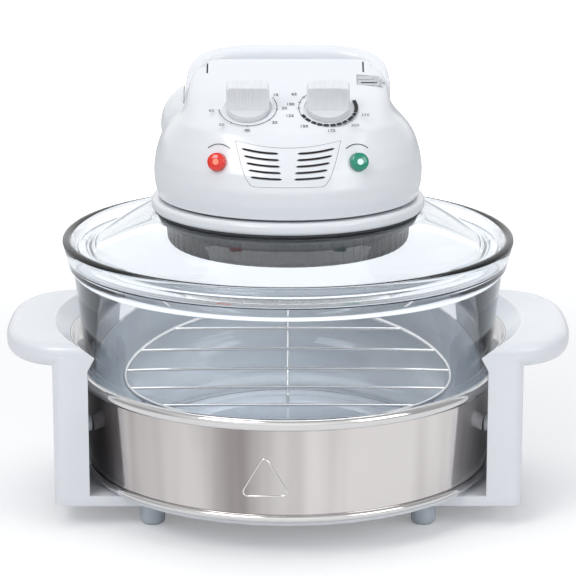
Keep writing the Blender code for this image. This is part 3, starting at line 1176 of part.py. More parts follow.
def build_motor():
    """Fan motor on its bridge, the shaft through the head, and the two fans."""
    air_low = HEATER_BOTTOM + HEATER_WALL + GUARD_THICKNESS + GAP * 2 + SHAFT_CLEARANCE
    build_fan("convection_fan", AIR_FAN_RADIUS, AIR_FAN_HEIGHT, air_low, "aluminium")
    cooling_low = TRAY_TOP + SHAFT_CLEARANCE * 4
    build_fan("cooling_fan", COOLING_FAN_RADIUS, COOLING_FAN_HEIGHT, cooling_low, "aluminium")
    motor_top = MOTOR_BOTTOM + MOTOR_HEIGHT
    rod("motor_shaft", SHAFT_RADIUS, (0, 0, air_low), (0, 0, motor_top - OVERRUN), "steel", steps=16)
    bore = SHAFT_RADIUS + GAP
    profile = [(bore, MOTOR_BOTTOM), (MOTOR_RADIUS, MOTOR_BOTTOM), (MOTOR_RADIUS, motor_top), (0, motor_top),
               (0, motor_top - OVERRUN + GAP), (bore, motor_top - OVERRUN + GAP)]
    turned("fan_motor", profile, "dark_steel", SMALL_STEPS)
    half = BRACKET_SPAN / 2
    top = MOTOR_BOTTOM - GAP
    outline = [(-half, TRAY_TOP + GAP), (-half + BRACKET_LEG, TRAY_TOP + GAP), (-half + BRACKET_LEG, top - BRACKET_THICKNESS),
               (half - BRACKET_LEG, top - BRACKET_THICKNESS), (half - BRACKET_LEG, TRAY_TOP + GAP), (half, TRAY_TOP + GAP),
               (half, top), (-half, top)]
    bridge = front_plate("motor_bracket_form", outline, -BRACKET_WIDTH / 2, BRACKET_WIDTH / 2)
    bracket = add_object("motor_bracket", bridge.data.copy(), "steel")
    bpy.data.objects.remove(bridge, do_unlink=True)
    hole = rod("bracket_bore_cut", FAN_HUB_RADIUS, (0, 0, top - BRACKET_THICKNESS - OVERRUN), (0, 0, top + OVERRUN), steps=16)
    cut(bracket, hole)
    box("terminal_block", (COVER_X - TERMINAL_WIDTH / 4, COVER_Y - TERMINAL_LENGTH / 3, TRAY_TOP + GAP),
        (COVER_X + TERMINAL_WIDTH * 3 / 4, COVER_Y + TERMINAL_LENGTH * 2 / 3, TRAY_TOP + TERMINAL_WIDTH), "ceramic")


clear_scene()
PARTS = new_collection("halogen_oven")
CUTTERS = new_collection("halogen_oven_cutters")

build_feet()
build_base_pan()
build_drum()
for SIDE, SIDE_NAME in ((-1, "left"), (1, "right")):
    build_side_housing(SIDE, SIDE_NAME)
    build_heat_shield(SIDE, SIDE_NAME)
build_bowl()
build_rack()
build_lid()
build_head_floor()
SHELL = build_shell()
build_cord_gland(SHELL)
build_vent()
for SIDE, DIAL_NAME in ((-1, "timer"), (1, "thermostat")):
    build_knob(DIAL_NAME, SIDE)
    build_control(DIAL_NAME, SIDE)
build_lens("power", -1, "red_lens")
build_lens("heat", 1, "green_lens")
build_bail()
build_safety_switch()
build_terminal_cover()
build_heater()
build_motor()
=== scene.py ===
"""Looks of the halogen oven: fine visual pieces, finishes, panel print, camera and light.

Every visual piece rides on a CAD body, and most stand for CAD nodes, so the frame stays the measure of size and place.
Units are metres, +Z is up, and the control panel faces -Y.
"""
import json
import logging
import math
from collections.abc import Iterable, Sequence
from dataclasses import dataclass, field
from enum import Enum

import bmesh
import bpy
import numpy as np
from mathutils import Matrix, Vector
from mathutils.bvhtree import BVHTree

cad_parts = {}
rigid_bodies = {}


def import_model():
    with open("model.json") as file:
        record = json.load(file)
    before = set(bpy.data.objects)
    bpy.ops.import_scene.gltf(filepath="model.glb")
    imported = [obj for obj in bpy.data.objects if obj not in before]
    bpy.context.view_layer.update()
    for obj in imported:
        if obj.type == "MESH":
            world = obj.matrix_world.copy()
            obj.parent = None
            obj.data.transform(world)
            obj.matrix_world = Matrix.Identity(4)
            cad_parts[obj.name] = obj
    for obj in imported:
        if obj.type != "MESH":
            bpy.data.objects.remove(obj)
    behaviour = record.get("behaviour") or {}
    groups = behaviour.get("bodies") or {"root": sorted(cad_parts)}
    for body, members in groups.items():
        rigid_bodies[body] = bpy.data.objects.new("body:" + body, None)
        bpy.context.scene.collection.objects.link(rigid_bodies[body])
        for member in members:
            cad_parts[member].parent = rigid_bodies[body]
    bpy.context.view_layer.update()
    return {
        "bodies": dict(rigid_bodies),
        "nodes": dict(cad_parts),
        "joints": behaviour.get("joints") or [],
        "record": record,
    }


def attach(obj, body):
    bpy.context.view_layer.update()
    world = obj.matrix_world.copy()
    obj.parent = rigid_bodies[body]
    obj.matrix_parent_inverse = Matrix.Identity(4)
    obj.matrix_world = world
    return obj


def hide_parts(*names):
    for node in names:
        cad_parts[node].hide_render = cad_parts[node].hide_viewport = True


LOG = logging.getLogger("halogen_oven")

Point2 = tuple[float, float]
Point3 = tuple[float, float, float]
Color = tuple[float, float, float]


class Body(str, Enum):
    """Bodies of the frame that pieces ride on."""

    BASE = "base"
    BOWL = "bowl"
    RACK = "rack"
    HEAD = "head"
    TIMER = "timer_dial"
    THERMOSTAT = "thermostat_dial"
    BAIL = "bail"
    PLUNGER = "plunger"
    FANS = "fans"


class Side(Enum):
    """Left and right of the oven, seen from the front."""

    LEFT = -1
    RIGHT = 1

    @property
    def label(self) -> str:
        """Lower-case name of the side."""
        return self.name.lower()


@dataclass(frozen=True)
class Finish:
    """A procedural surface: a base colour with faint mottling, fine grain and an optional clear coat."""

    name: str
    slot: str
    color: Color
    roughness: float
    metallic: float = 0.0
    coat: float = 0.0
    mottle: float = 0.02
    mottle_scale: float = 40.0
    grain: float = 0.0
    grain_scale: float = 900.0
    emission: float = 0.0

    def build(self) -> bpy.types.Material:
        """Make the node material.

        Returns:
            The new material.
        """
        material = bpy.data.materials.new(self.name)
        material.use_nodes = True
        tree = material.node_tree
        shader = tree.nodes["Principled BSDF"]
        shader.inputs["Metallic"].default_value = self.metallic
        shader.inputs["Coat Weight"].default_value = self.coat
        shader.inputs["Coat Roughness"].default_value = 0.05
        if self.emission:
            shader.inputs["Emission Color"].default_value = (*self.color, 1.0)
            shader.inputs["Emission Strength"].default_value = self.emission
        coords = tree.nodes.new("ShaderNodeTexCoord")
        noise = tree.nodes.new("ShaderNodeTexNoise")
        noise.inputs["Scale"].default_value = self.mottle_scale
        noise.inputs["Detail"].default_value = 3.0
        tree.links.new(coords.outputs["Object"], noise.inputs["Vector"])
        tint = tree.nodes.new("ShaderNodeMapRange")
        tint.inputs["To Min"].default_value = 1.0 - self.mottle
        tint.inputs["To Max"].default_value = 1.0 + self.mottle
        tree.links.new(noise.outputs["Fac"], tint.inputs["Value"])
        shade = tree.nodes.new("ShaderNodeVectorMath")
        shade.operation = "SCALE"
        shade.inputs[0].default_value = self.color
        tree.links.new(tint.outputs["Result"], shade.inputs["Scale"])
        tree.links.new(shade.outputs["Vector"], shader.inputs["Base Color"])
        gloss = tree.nodes.new("ShaderNodeMapRange")
        gloss.inputs["To Min"].default_value = max(0.0, self.roughness - 0.03)
        gloss.inputs["To Max"].default_value = self.roughness + 0.03
        tree.links.new(noise.outputs["Fac"], gloss.inputs["Value"])
        tree.links.new(gloss.outputs["Result"], shader.inputs["Roughness"])
        if self.grain:
            fine = tree.nodes.new("ShaderNodeTexNoise")
            fine.inputs["Scale"].default_value = self.grain_scale
            tree.links.new(coords.outputs["Object"], fine.inputs["Vector"])
            bump = tree.nodes.new("ShaderNodeBump")
            bump.inputs["Strength"].default_value = self.grain
            bump.inputs["Distance"].default_value = 0.0002
            tree.links.new(fine.outputs["Fac"], bump.inputs["Height"])
            tree.links.new(bump.outputs["Normal"], shader.inputs["Normal"])
        return material


@dataclass(frozen=True)
class GlassFinish(Finish):
    """Clear glass that lets light through its own shadow, and rays that have turned many times."""

    ior: float = 1.46
    depth: float = 5.5
    shadow: float = 0.98

    def build(self) -> bpy.types.Material:
        """Make the glass material.

        Returns:
            The new material.
        """
        material = bpy.data.materials.new(self.name)
        material.use_nodes = True
        tree = material.node_tree
        output = tree.nodes["Material Output"]
        tree.nodes.remove(tree.nodes["Principled BSDF"])
        glass = tree.nodes.new("ShaderNodeBsdfGlass")
        glass.inputs["IOR"].default_value = self.ior
        coords = tree.nodes.new("ShaderNodeTexCoord")
        noise = tree.nodes.new("ShaderNodeTexNoise")
        noise.inputs["Scale"].default_value = self.mottle_scale
        tree.links.new(coords.outputs["Object"], noise.inputs["Vector"])
        gloss = tree.nodes.new("ShaderNodeMapRange")
        gloss.inputs["To Min"].default_value = self.roughness * 0.5
        gloss.inputs["To Max"].default_value = self.roughness * 1.5
        tree.links.new(noise.outputs["Fac"], gloss.inputs["Value"])
        tree.links.new(gloss.outputs["Result"], glass.inputs["Roughness"])
        glass.inputs["Color"].default_value = (*self.color, 1.0)
        clear = tree.nodes.new("ShaderNodeBsdfTransparent")
        clear.inputs["Color"].default_value = (*(self.shadow * c for c in self.color), 1.0)
        path = tree.nodes.new("ShaderNodeLightPath")
        deep = tree.nodes.new("ShaderNodeMath")
        deep.operation = "GREATER_THAN"
        deep.inputs[1].default_value = self.depth
        tree.links.new(path.outputs["Ray Depth"], deep.inputs[0])
        through = tree.nodes.new("ShaderNodeMath")
        through.operation = "MAXIMUM"
        tree.links.new(path.outputs["Is Shadow Ray"], through.inputs[0])
        tree.links.new(deep.outputs["Value"], through.inputs[1])
        mix = tree.nodes.new("ShaderNodeMixShader")
        tree.links.new(through.outputs["Value"], mix.inputs["Fac"])
        tree.links.new(glass.outputs["BSDF"], mix.inputs[1])
        tree.links.new(clear.outputs["BSDF"], mix.inputs[2])
        tree.links.new(mix.outputs["Shader"], output.inputs["Surface"])
        return material


@dataclass(frozen=True)
class SteelWithPaintedReflections(Finish):
    """Polished sheet steel with painted reflections: its base colour runs in dark and light upright streaks round the
    band, standing in for the room it reflects.
    """

    # painted reflection: dark tone of the upright streaks that stand in for the room reflected in the steel
    dark: Color = (0.20, 0.17, 0.165)
    streaks: float = 5.0

    def build(self) -> bpy.types.Material:
        """Make the streaked steel material.

        Returns:
            The new material.
        """
        material = super().build()
        tree = material.node_tree
        shader = tree.nodes["Principled BSDF"]
        coords = tree.nodes.new("ShaderNodeTexCoord")
        flatten = tree.nodes.new("ShaderNodeMapping")
        flatten.inputs["Scale"].default_value = (1.0, 1.0, 0.02)
        tree.links.new(coords.outputs["Object"], flatten.inputs["Vector"])
        noise = tree.nodes.new("ShaderNodeTexNoise")
        noise.inputs["Scale"].default_value = self.streaks
        noise.inputs["Detail"].default_value = 5.0
        noise.inputs["Roughness"].default_value = 0.55
        tree.links.new(flatten.outputs["Vector"], noise.inputs["Vector"])
        # painted reflection: the stretched noise picks between the dark and the light tone, so upright streaks of
        # reflection are painted into the base colour
        ramp = tree.nodes.new("ShaderNodeValToRGB")
        ramp.color_ramp.elements[0].position = 0.41
        ramp.color_ramp.elements[0].color = (*self.dark, 1.0)
        ramp.color_ramp.elements[1].position = 0.57
        ramp.color_ramp.elements[1].color = (*self.color, 1.0)
        tree.links.new(noise.outputs["Fac"], ramp.inputs["Fac"])
        tree.links.new(ramp.outputs["Color"], shader.inputs["Base Color"])
        return material


MADE: dict[str, bpy.types.Material] = {}


class Finishes(Enum):
    """The finishes used on the oven."""

    WHITE = Finish("white_gloss", "white_plastic", (0.885, 0.91, 0.945), 0.22, coat=0.35, mottle=0.006)
    HOUSING = Finish("housing_gloss", "white_plastic", (0.815, 0.84, 0.88), 0.24, coat=0.3, mottle=0.006)
    # painted shade: near-black colour of the sheet behind the vent slots, standing for the dim inside of the head
    SHADE = Finish("grille_shade", "black_plastic", (0.105, 0.082, 0.075), 0.6)
    SATIN = Finish("grey_satin", "grey_plastic", (0.20, 0.21, 0.23), 0.45, grain=0.1)
    KNOB = Finish("knob_satin", "knob_plastic", (0.83, 0.845, 0.865), 0.38, grain=0.08)
    BLACK = Finish("black_satin", "black_plastic", (0.02, 0.02, 0.022), 0.42, grain=0.1)
    # painted reflection: the light tone of the band's painted reflection streaks; the dark tone is set in the class
    BAND = SteelWithPaintedReflections("band_steel_painted_reflections", "drum_steel", (0.80, 0.76, 0.745), 0.13, 1.0)
    INSIDE = Finish("band_inside", "drum_steel", (0.66, 0.69, 0.72), 0.42, 0.35, mottle=0.03)
    TRIM = Finish("trim_bright", "trim_steel", (0.80, 0.79, 0.79), 0.11, 1.0, mottle=0.03)
    DARK = Finish("dark_coating", "dark_steel", (0.026, 0.027, 0.030), 0.42, 0.2, grain=0.15)
    CAST = Finish("plain_aluminium", "cast_aluminium", (0.70, 0.71, 0.72), 0.34, 1.0, mottle=0.05)
    GLASS = GlassFinish("clear_glass", "clear_glass", (0.974, 0.985, 0.995), 0.0)
    QUARTZ = GlassFinish("quartz", "quartz_glass", (0.98, 0.97, 0.95), 0.02)
    CERAMIC = Finish("matt_ceramic", "ceramic", (0.78, 0.75, 0.69), 0.65, grain=0.2)
    SILICONE = Finish("silicone", "silicone", (0.055, 0.056, 0.06), 0.6)
    LATCH = Finish("latch_grey", "grey_plastic", (0.60, 0.62, 0.645), 0.35)
    FOOT = Finish("foot_rubber", "foot_rubber", (0.58, 0.64, 0.70), 0.5, grain=0.1)
    RED = Finish("red_lens", "red_lens", (0.80, 0.022, 0.008), 0.12, coat=0.8, emission=0.06)
    GREEN = Finish("green_lens", "green_lens", (0.0, 0.27, 0.17), 0.12, coat=0.8, emission=0.04)
    GLOW = Finish("lens_glow", "green_lens", (0.70, 0.95, 0.86), 0.3, emission=0.25)
    GLOW_RED = Finish("lens_glow_red", "red_lens", (1.0, 0.30, 0.20), 0.3, emission=0.15)
    PRINT = Finish("panel_print", "black_plastic", (0.03, 0.03, 0.035), 0.5)

    def material(self) -> bpy.types.Material:
        """Return this finish's material, made on first use."""
        if self.name not in MADE:
            MADE[self.name] = self.value.build()
        return MADE[self.name]


class Sculptor:
    """Makes closed meshes and cuts, joins and rounds them."""

    @staticmethod
    def _object(name: str, bm: bmesh.types.BMesh) -> bpy.types.Object:
        """Link a bmesh as an object with outward faces."""
        bmesh.ops.remove_doubles(bm, verts=bm.verts, dist=1e-6)
        bmesh.ops.recalc_face_normals(bm, faces=bm.faces)
        if bm.calc_volume(signed=True) < 0:
            bmesh.ops.reverse_faces(bm, faces=bm.faces)
        mesh = bpy.data.meshes.new(name)
        bm.to_mesh(mesh)
        bm.free()
        item = bpy.data.objects.new(name, mesh)
        bpy.context.scene.collection.objects.link(item)
        return item

    @staticmethod
    def turned(name: str, profile: Sequence[Point2], steps: int = 192) -> bpy.types.Object:
        """Turn a closed outline of radius and height round +Z.

        Args:
            name: Name of the piece.
            profile: Points of radius and height.
            steps: Facets round the axis.

        Returns:
            The turned object.
        """
        bm = bmesh.new()
        rings = []
        for radius, height in profile:
            if radius < 1e-7:
                rings.append([bm.verts.new((0.0, 0.0, height))])
                continue
            rings.append([bm.verts.new((radius * math.cos(math.tau * i / steps),
                                        radius * math.sin(math.tau * i / steps), height)) for i in range(steps)])
        for lower, upper in zip(rings, rings[1:] + rings[:1]):
            for i in range(steps):
                j = (i + 1) % steps
                corners = [lower[i % len(lower)], lower[j % len(lower)], upper[j % len(upper)], upper[i % len(upper)]]
                unique = list(dict.fromkeys(corners))
                if len(unique) > 2:
                    bm.faces.new(unique)
        return Sculptor._object(name, bm)

    @staticmethod
    def loft(name: str, rings: Sequence[Sequence[Point3]]) -> bpy.types.Object:
        """Skin a stack of equal rings and close both ends.

        Args:
            name: Name of the piece.
            rings: Rings of points.

        Returns:
            The lofted object.
        """
        bm = bmesh.new()
        rows = [[bm.verts.new(point) for point in ring] for ring in rings]
        count = len(rows[0])
        for lower, upper in zip(rows, rows[1:]):
            for i in range(count):
                j = (i + 1) % count
                bm.faces.new((lower[i], lower[j], upper[j]))
                bm.faces.new((lower[i], upper[j], upper[i]))
        bm.faces.new(list(reversed(rows[0])))
        bm.faces.new(rows[-1])
        return Sculptor._object(name, bm)

    @staticmethod
    def plate(name: str, outline: Sequence[Point2], low: float, high: float,
              matrix: Matrix | None = None) -> bpy.types.Object:
        """Give a flat outline a thickness.

        Args:
            name: Name of the piece.
            outline: Points in the plane.
            low: Lower face along the normal.
            high: Upper face along the normal.
            matrix: Where the plate's plane is.

        Returns:
            The plate object.
        """
        bm = bmesh.new()
        under = [bm.verts.new((x, y, low)) for x, y in outline]
        over = [bm.verts.new((x, y, high)) for x, y in outline]
        count = len(outline)
        for i in range(count):
            j = (i + 1) % count
            bm.faces.new((under[i], under[j], over[j], over[i]))
        bm.faces.new(list(reversed(under)))
        bm.faces.new(over)
        if matrix is not None:
            bm.transform(matrix)
        return Sculptor._object(name, bm)

    @staticmethod
    def box(name: str, low: Point3, high: Point3, matrix: Matrix | None = None) -> bpy.types.Object:
        """A block between two corners."""
        outline = [(low[0], low[1]), (high[0], low[1]), (high[0], high[1]), (low[0], high[1])]
        return Sculptor.plate(name, outline, low[2], high[2], matrix)

    @staticmethod
    def rod(name: str, radius: float, start: Sequence[float], end: Sequence[float],
            steps: int = 48) -> bpy.types.Object:
        """A cylinder from start to end."""
        a, b = Vector(start), Vector(end)
        turn = (b - a).to_track_quat("Z", "Y").to_matrix().to_4x4()
        circle = [(radius * math.cos(math.tau * i / steps), radius * math.sin(math.tau * i / steps))
                  for i in range(steps)]
        return Sculptor.plate(name, circle, 0.0, (b - a).length, Matrix.Translation(a) @ turn)

    @staticmethod
    def wire(name: str, points: Sequence[Sequence[float]], radius: float, cyclic: bool = False) -> bpy.types.Object:
        """A round bar along a path."""
        curve = bpy.data.curves.new(name, "CURVE")
        curve.dimensions = "3D"
        curve.bevel_depth = radius
        curve.bevel_resolution = 4
        curve.use_fill_caps = True
        spline = curve.splines.new("POLY")
        spline.points.add(len(points) - 1)
        for target, point in zip(spline.points, points):
            target.co = (*point, 1)
        spline.use_cyclic_u = cyclic
        item = bpy.data.objects.new(name, curve)
        bpy.context.scene.collection.objects.link(item)
        return item

    @staticmethod
    def apply(item: bpy.types.Object) -> bpy.types.Object:
        """Bake an object's modifiers into its mesh."""
        bpy.context.view_layer.update()
        graph = bpy.context.evaluated_depsgraph_get()
        mesh = bpy.data.meshes.new_from_object(item.evaluated_get(graph), depsgraph=graph)
        old = item.data
        item.modifiers.clear()
        item.data = mesh
        bpy.data.meshes.remove(old)
        return item

    @staticmethod
    def combine(target: bpy.types.Object, others: Iterable[bpy.types.Object], operation: str) -> bpy.types.Object:
        """Apply exact Booleans one after the other and remove the helpers.

        Args:
            target: Piece to change.
            others: Helper pieces.
            operation: DIFFERENCE, UNION or INTERSECT.

        Returns:
            The changed piece.
        """
        for other in others:
            step = target.modifiers.new("step", "BOOLEAN")
            step.operation = operation
            step.object = other
            Sculptor.apply(target)
            bpy.data.objects.remove(other, do_unlink=True)
        return target

    @staticmethod
    def cut(target: bpy.types.Object, *others: bpy.types.Object) -> bpy.types.Object:
        """Cut helpers out of a piece."""
        return Sculptor.combine(target, others, "DIFFERENCE")

    @staticmethod
    def join(target: bpy.types.Object, *others: bpy.types.Object) -> bpy.types.Object:
        """Join helpers to a piece."""
        return Sculptor.combine(target, others, "UNION")

    @staticmethod
    def rounded(item: bpy.types.Object, width: float, segments: int = 6, degrees: float = 40.0) -> bpy.types.Object:
        """Round a piece's sharp edges and bake the result."""
        bevel = item.modifiers.new("round", "BEVEL")
        bevel.width = width
        bevel.segments = segments
        bevel.limit_method = "ANGLE"
        bevel.angle_limit = math.radians(degrees)
        return Sculptor.apply(item)


class Workshop:
    """Dresses pieces in a finish and hands them to the frame."""

    def __init__(self) -> None:
        self.count = 0

    def place(self, item: bpy.types.Object, finish: Finishes, body: Body, *nodes: str,
              degrees: float = 35.0) -> bpy.types.Object:
        """Finish a visual piece and let it ride.

        Args:
            item: The piece.
            finish: Its finish.
            body: The CAD body it rides on.
            nodes: CAD nodes it stands for.
            degrees: Angle above which an edge stays sharp.

        Returns:
            The piece.
        """
        item.data.materials.clear()
        item.data.materials.append(finish.material())
        if item.type == "MESH":
            item.data.transform(item.matrix_basis)
            item.matrix_basis = Matrix.Identity(4)
            item.data.shade_smooth()
            item.data.set_sharp_from_angle(angle=math.radians(degrees))
        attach(item, body.value)
        if nodes:
            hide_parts(*nodes)
        self.count += 1
        LOG.info("placed %s on %s, standing for %s", item.name, body.value, ", ".join(nodes) or "nothing")
        return item

    def dress(self, node: bpy.types.Object, finish: Finishes) -> None:
        """Give a carried-over CAD node its finish and flat shading."""
        node.data.materials.clear()
        node.data.materials.append(finish.material())
        node.data.shade_flat()
        LOG.info("dressed %s in %s", node.name, finish.value.name)


def arc(cx: float, cy: float, radius: float, start: float, end: float, steps: int) -> list[Point2]:
    """Points on an arc from one angle to another."""
    return [(cx + radius * math.cos(start + (end - start) * i / steps),
             cy + radius * math.sin(start + (end - start) * i / steps)) for i in range(steps + 1)]


def superellipse(half_x: float, half_y: float, power: float, angle: float) -> Point2:
    """A point of a rounded rectangle whose squareness grows with the power."""
    c, s = math.cos(angle), math.sin(angle)
    return (half_x * math.copysign(abs(c) ** (2 / power), c), half_y * math.copysign(abs(s) ** (2 / power), s))


def round_corners(points: Sequence[Point2], radii: Sequence[float], steps: int = 6) -> list[Point2]:
    """Round the corners of a closed outline.

    Args:
        points: Corners of the outline.
        radii: Radius at each corner, zero for a sharp one.
        steps: Segments in a rounded corner.

    Returns:
        The outline with arcs in place of its corners.
    """
    result: list[Point2] = []
    count = len(points)
    for i, radius in enumerate(radii):
        here = Vector(points[i])
        if radius <= 0:
            result.append((here.x, here.y))
            continue
        before = (Vector(points[i - 1]) - here)
        after = (Vector(points[(i + 1) % count]) - here)
        half = before.angle(after) / 2
        reach = min(radius / math.tan(half), before.length * 0.49, after.length * 0.49)
        a = here + before.normalized() * reach
        b = here + after.normalized() * reach
        for k in range(steps + 1):
            t = k / steps
            p = a * (1 - t) ** 2 + here * 2 * t * (1 - t) + b * t ** 2
            result.append((p.x, p.y))
    return result


@dataclass
class BaseSizes:
    """Sizes of the base, taken over from the construction."""

    foot_radius: float = 0.009
    foot_height: float = 0.0157
    foot_x: float = 0.0985
    foot_y: float = 0.070
    bottom: float = 0.016
    arm_top: float = 0.024
    arm_inner_x: float = 0.085
    post_outer_x: float = 0.169
    half_depth: float = 0.083
    inner_radius: float = 0.1655
    corner: float = 0.008
    wing_reach: float = 0.207
    wing_root: float = 0.148
    wing_top: float = 0.1372
    wing_thickness: float = 0.0175
    wing_round: float = 0.0072
    wing_power: float = 2.7
    funnel_top: float = 0.172
    funnel_lip: float = 0.1612
    funnel_depth: float = 0.0095
    lip_thickness: float = 0.003
    boss_radius: float = 0.006
    boss_angle: float = math.radians(17)
    boss_z: float = 0.0676
    boss_reach: float = 0.1512
    drum_bottom: float = 0.0271
    drum_top: float = 0.1036
    drum_bottom_radius: float = 0.1485
    drum_top_radius: float = 0.1525
    wall: float = 0.0009
    top_bead: Point2 = (0.0035, 0.0088)
    bottom_bead: Point2 = (0.0026, 0.0055)
    shield_half_angle: float = math.radians(27)
    shield_height: float = 0.0185


@dataclass
class BaseLook:
    """Housings, drum band, trim rings, shields and feet."""

    shop: Workshop
    sizes: BaseSizes = field(default_factory=BaseSizes)

    def build(self) -> None:
        """Make every piece of the base."""
        self.feet()
        for side in Side:
            self.housing(side)
            self.shield(side)
        self.drum()
        self.emblem()

    def feet(self) -> None:
        """Four feet with rounded soles."""
        s = self.sizes
        edge = 0.0032
        profile = [(0.0, 0.0), *arc(s.foot_radius - edge, edge, edge, -math.pi / 2, 0, 8),
                   (s.foot_radius, s.foot_height), (0.0, s.foot_height)]
        for side in Side:
            for end, label in ((-1, "front"), (1, "rear")):
                foot = Sculptor.turned(f"foot_look_{label}_{side.label}", profile, 64)
                foot.location = (side.value * s.foot_x, end * s.foot_y, 0.0)
                self.shop.place(foot, Finishes.FOOT, Body.BASE, f"foot_{label}_{side.label}")

    def post_outline(self, side: Side, inner_x: float) -> list[Point2]:
        """Plan of the upright post with rounded outer corners."""
        s = self.sizes
        cx, cy = s.post_outer_x - s.corner, s.half_depth - s.corner
        points = [(inner_x, -s.half_depth), *arc(cx, -cy, s.corner, -math.pi / 2, 0, 10),
                  *arc(cx, cy, s.corner, 0, math.pi / 2, 10), (inner_x, s.half_depth)]
        return [(side.value * x, y) for x, y in points]

    def wing_outline(self, side: Side) -> list[Point2]:
        """D-shaped plan of a carrying handle."""
        s = self.sizes
        reach = s.wing_reach - s.wing_root
        points = []
        for i in range(65):
            x, y = superellipse(reach, s.half_depth, s.wing_power, -math.pi / 2 + math.pi * i / 64)
            points.append((side.value * (s.wing_root + x), y))
        inner = s.wing_root - reach
        return points + [(side.value * inner, s.half_depth), (side.value * inner, -s.half_depth)]

    def housing(self, side: Side) -> None:
        """One moulding: arm, post and wing with the funnel lip towards the bowl."""
        s = self.sizes
        lip_z = s.wing_top - s.funnel_depth
        inner_x = math.sqrt(s.inner_radius ** 2 - s.half_depth ** 2) - s.corner
        post = Sculptor.plate(f"housing_look_{side.label}", self.post_outline(side, inner_x), s.bottom,
                              s.wing_top - s.wing_thickness / 2)
        Sculptor.rounded(post, 0.0012, 3)
        wing = Sculptor.plate("wing", self.wing_outline(side), s.wing_top - s.wing_thickness, s.wing_top)
        Sculptor.rounded(wing, s.wing_round, 8)
        arm = Sculptor.plate("arm", self.post_outline(side, s.arm_inner_x), s.bottom, s.arm_top)
        Sculptor.rounded(arm, 0.0012, 3)
        liner = Sculptor.turned("liner", [
            (0.0, s.arm_top), (s.inner_radius, s.arm_top), (s.inner_radius, lip_z - s.lip_thickness - 0.007),
            (s.funnel_lip, lip_z - 0.0008), (s.funnel_lip, lip_z), (s.funnel_top, s.wing_top),
            (s.funnel_top + 0.0012, s.wing_top + 0.004), (0.0, s.wing_top + 0.004)], 160)
        Sculptor.join(post, wing, arm)
        Sculptor.cut(post, liner)
        for turn in (-s.boss_angle, s.boss_angle):
            along = Vector((side.value * math.cos(turn), math.sin(turn), 0.0))
            up = Vector((0.0, 0.0, s.boss_z))
            Sculptor.join(post, Sculptor.rod("boss", s.boss_radius, along * s.boss_reach + up,
                                             along * (s.inner_radius + 0.0015) + up, 32))
        self.shop.place(post, Finishes.HOUSING, Body.BASE, f"side_housing_{side.label}", degrees=30)

    def shield(self, side: Side) -> None:
        """Polished strip under the funnel lip."""
        s = self.sizes
        middle = 0.0 if side is Side.RIGHT else math.pi
        outer, inner = s.funnel_lip - 0.0004, s.funnel_lip - 0.0011
        a, b = middle - s.shield_half_angle, middle + s.shield_half_angle
        top = s.wing_top - s.funnel_depth
        outline = arc(0, 0, outer, a, b, 32) + arc(0, 0, inner, b, a, 32)
        strip = Sculptor.plate(f"shield_look_{side.label}", outline, top - s.shield_height, top)
        self.shop.place(strip, Finishes.TRIM, Body.BASE, f"heat_shield_{side.label}")

    def bead(self, name: str, inner: float, middle: float, size: Point2, node: str) -> None:
        """A rolled trim ring of half-round section."""
        width, height = size
        profile = [(inner + width * math.cos(a), middle + height / 2 * math.sin(a))
                   for a in (math.pi / 2 - math.pi * i / 14 for i in range(15))]
        self.shop.place(Sculptor.turned(name, profile, 256), Finishes.TRIM, Body.BASE, node)

    def drum(self) -> None:
        """The steel band and its two rolled rings."""
        s = self.sizes
        lip = s.drum_bottom_radius - 0.006
        half = s.wall / 2
        profile = [(lip, s.drum_bottom), (s.drum_bottom_radius, s.drum_bottom), (s.drum_top_radius, s.drum_top),
                   (s.drum_top_radius - half, s.drum_top),
                   (s.drum_bottom_radius - half, s.drum_bottom + half), (lip, s.drum_bottom + half)]
        self.shop.place(Sculptor.turned("band_look", profile, 256), Finishes.BAND, Body.BASE, "drum_band")
        profile = [(lip, s.drum_bottom + half), (s.drum_bottom_radius - half, s.drum_bottom + half),
                   (s.drum_top_radius - half, s.drum_top), (s.drum_top_radius - s.wall, s.drum_top),
                   (s.drum_bottom_radius - s.wall, s.drum_bottom + s.wall), (lip, s.drum_bottom + s.wall)]
        self.shop.place(Sculptor.turned("band_inside_look", profile, 256), Finishes.INSIDE, Body.BASE)
        slope = (s.drum_top_radius - s.drum_bottom_radius) / (s.drum_top - s.drum_bottom)
        inner = s.drum_bottom_radius + slope * s.bottom_bead[1] + 0.0003
        self.bead("bottom_bead_look", inner, s.drum_bottom + s.bottom_bead[1] / 2, s.bottom_bead, "bottom_trim_ring")
        self.bead("top_bead_look", s.drum_top_radius + 0.0003, s.drum_top - s.top_bead[1] / 2, s.top_bead,
                  "top_trim_ring")

    def emblem(self) -> None:
        """A plain raised triangle on the front of the band, with no sign in it."""
        s = self.sizes
        corners = [(-0.0335, 0.0460), (0.0015, 0.0468), (-0.0165, 0.0770)]
        outline = round_corners(corners, [0.004, 0.004, 0.004], 6)
        slope = (s.drum_top_radius - s.drum_bottom_radius) / (s.drum_top - s.drum_bottom)
        points = []
        count = len(outline)
        for i, (x, z) in enumerate(outline):
            nx, nz = outline[(i + 1) % count]
            pieces = max(1, int(math.hypot(nx - x, nz - z) / 0.002))
            for k in range(pieces):
                px, pz = x + (nx - x) * k / pieces, z + (nz - z) * k / pieces
                radius = s.drum_bottom_radius + slope * (pz - s.drum_bottom) + 0.0001
                points.append((px, -math.sqrt(radius ** 2 - px ** 2), pz))
        ridge = Sculptor.wire("band_triangle", points, 0.0007, cyclic=True)
        self.shop.place(ridge, Finishes.TRIM, Body.BASE)


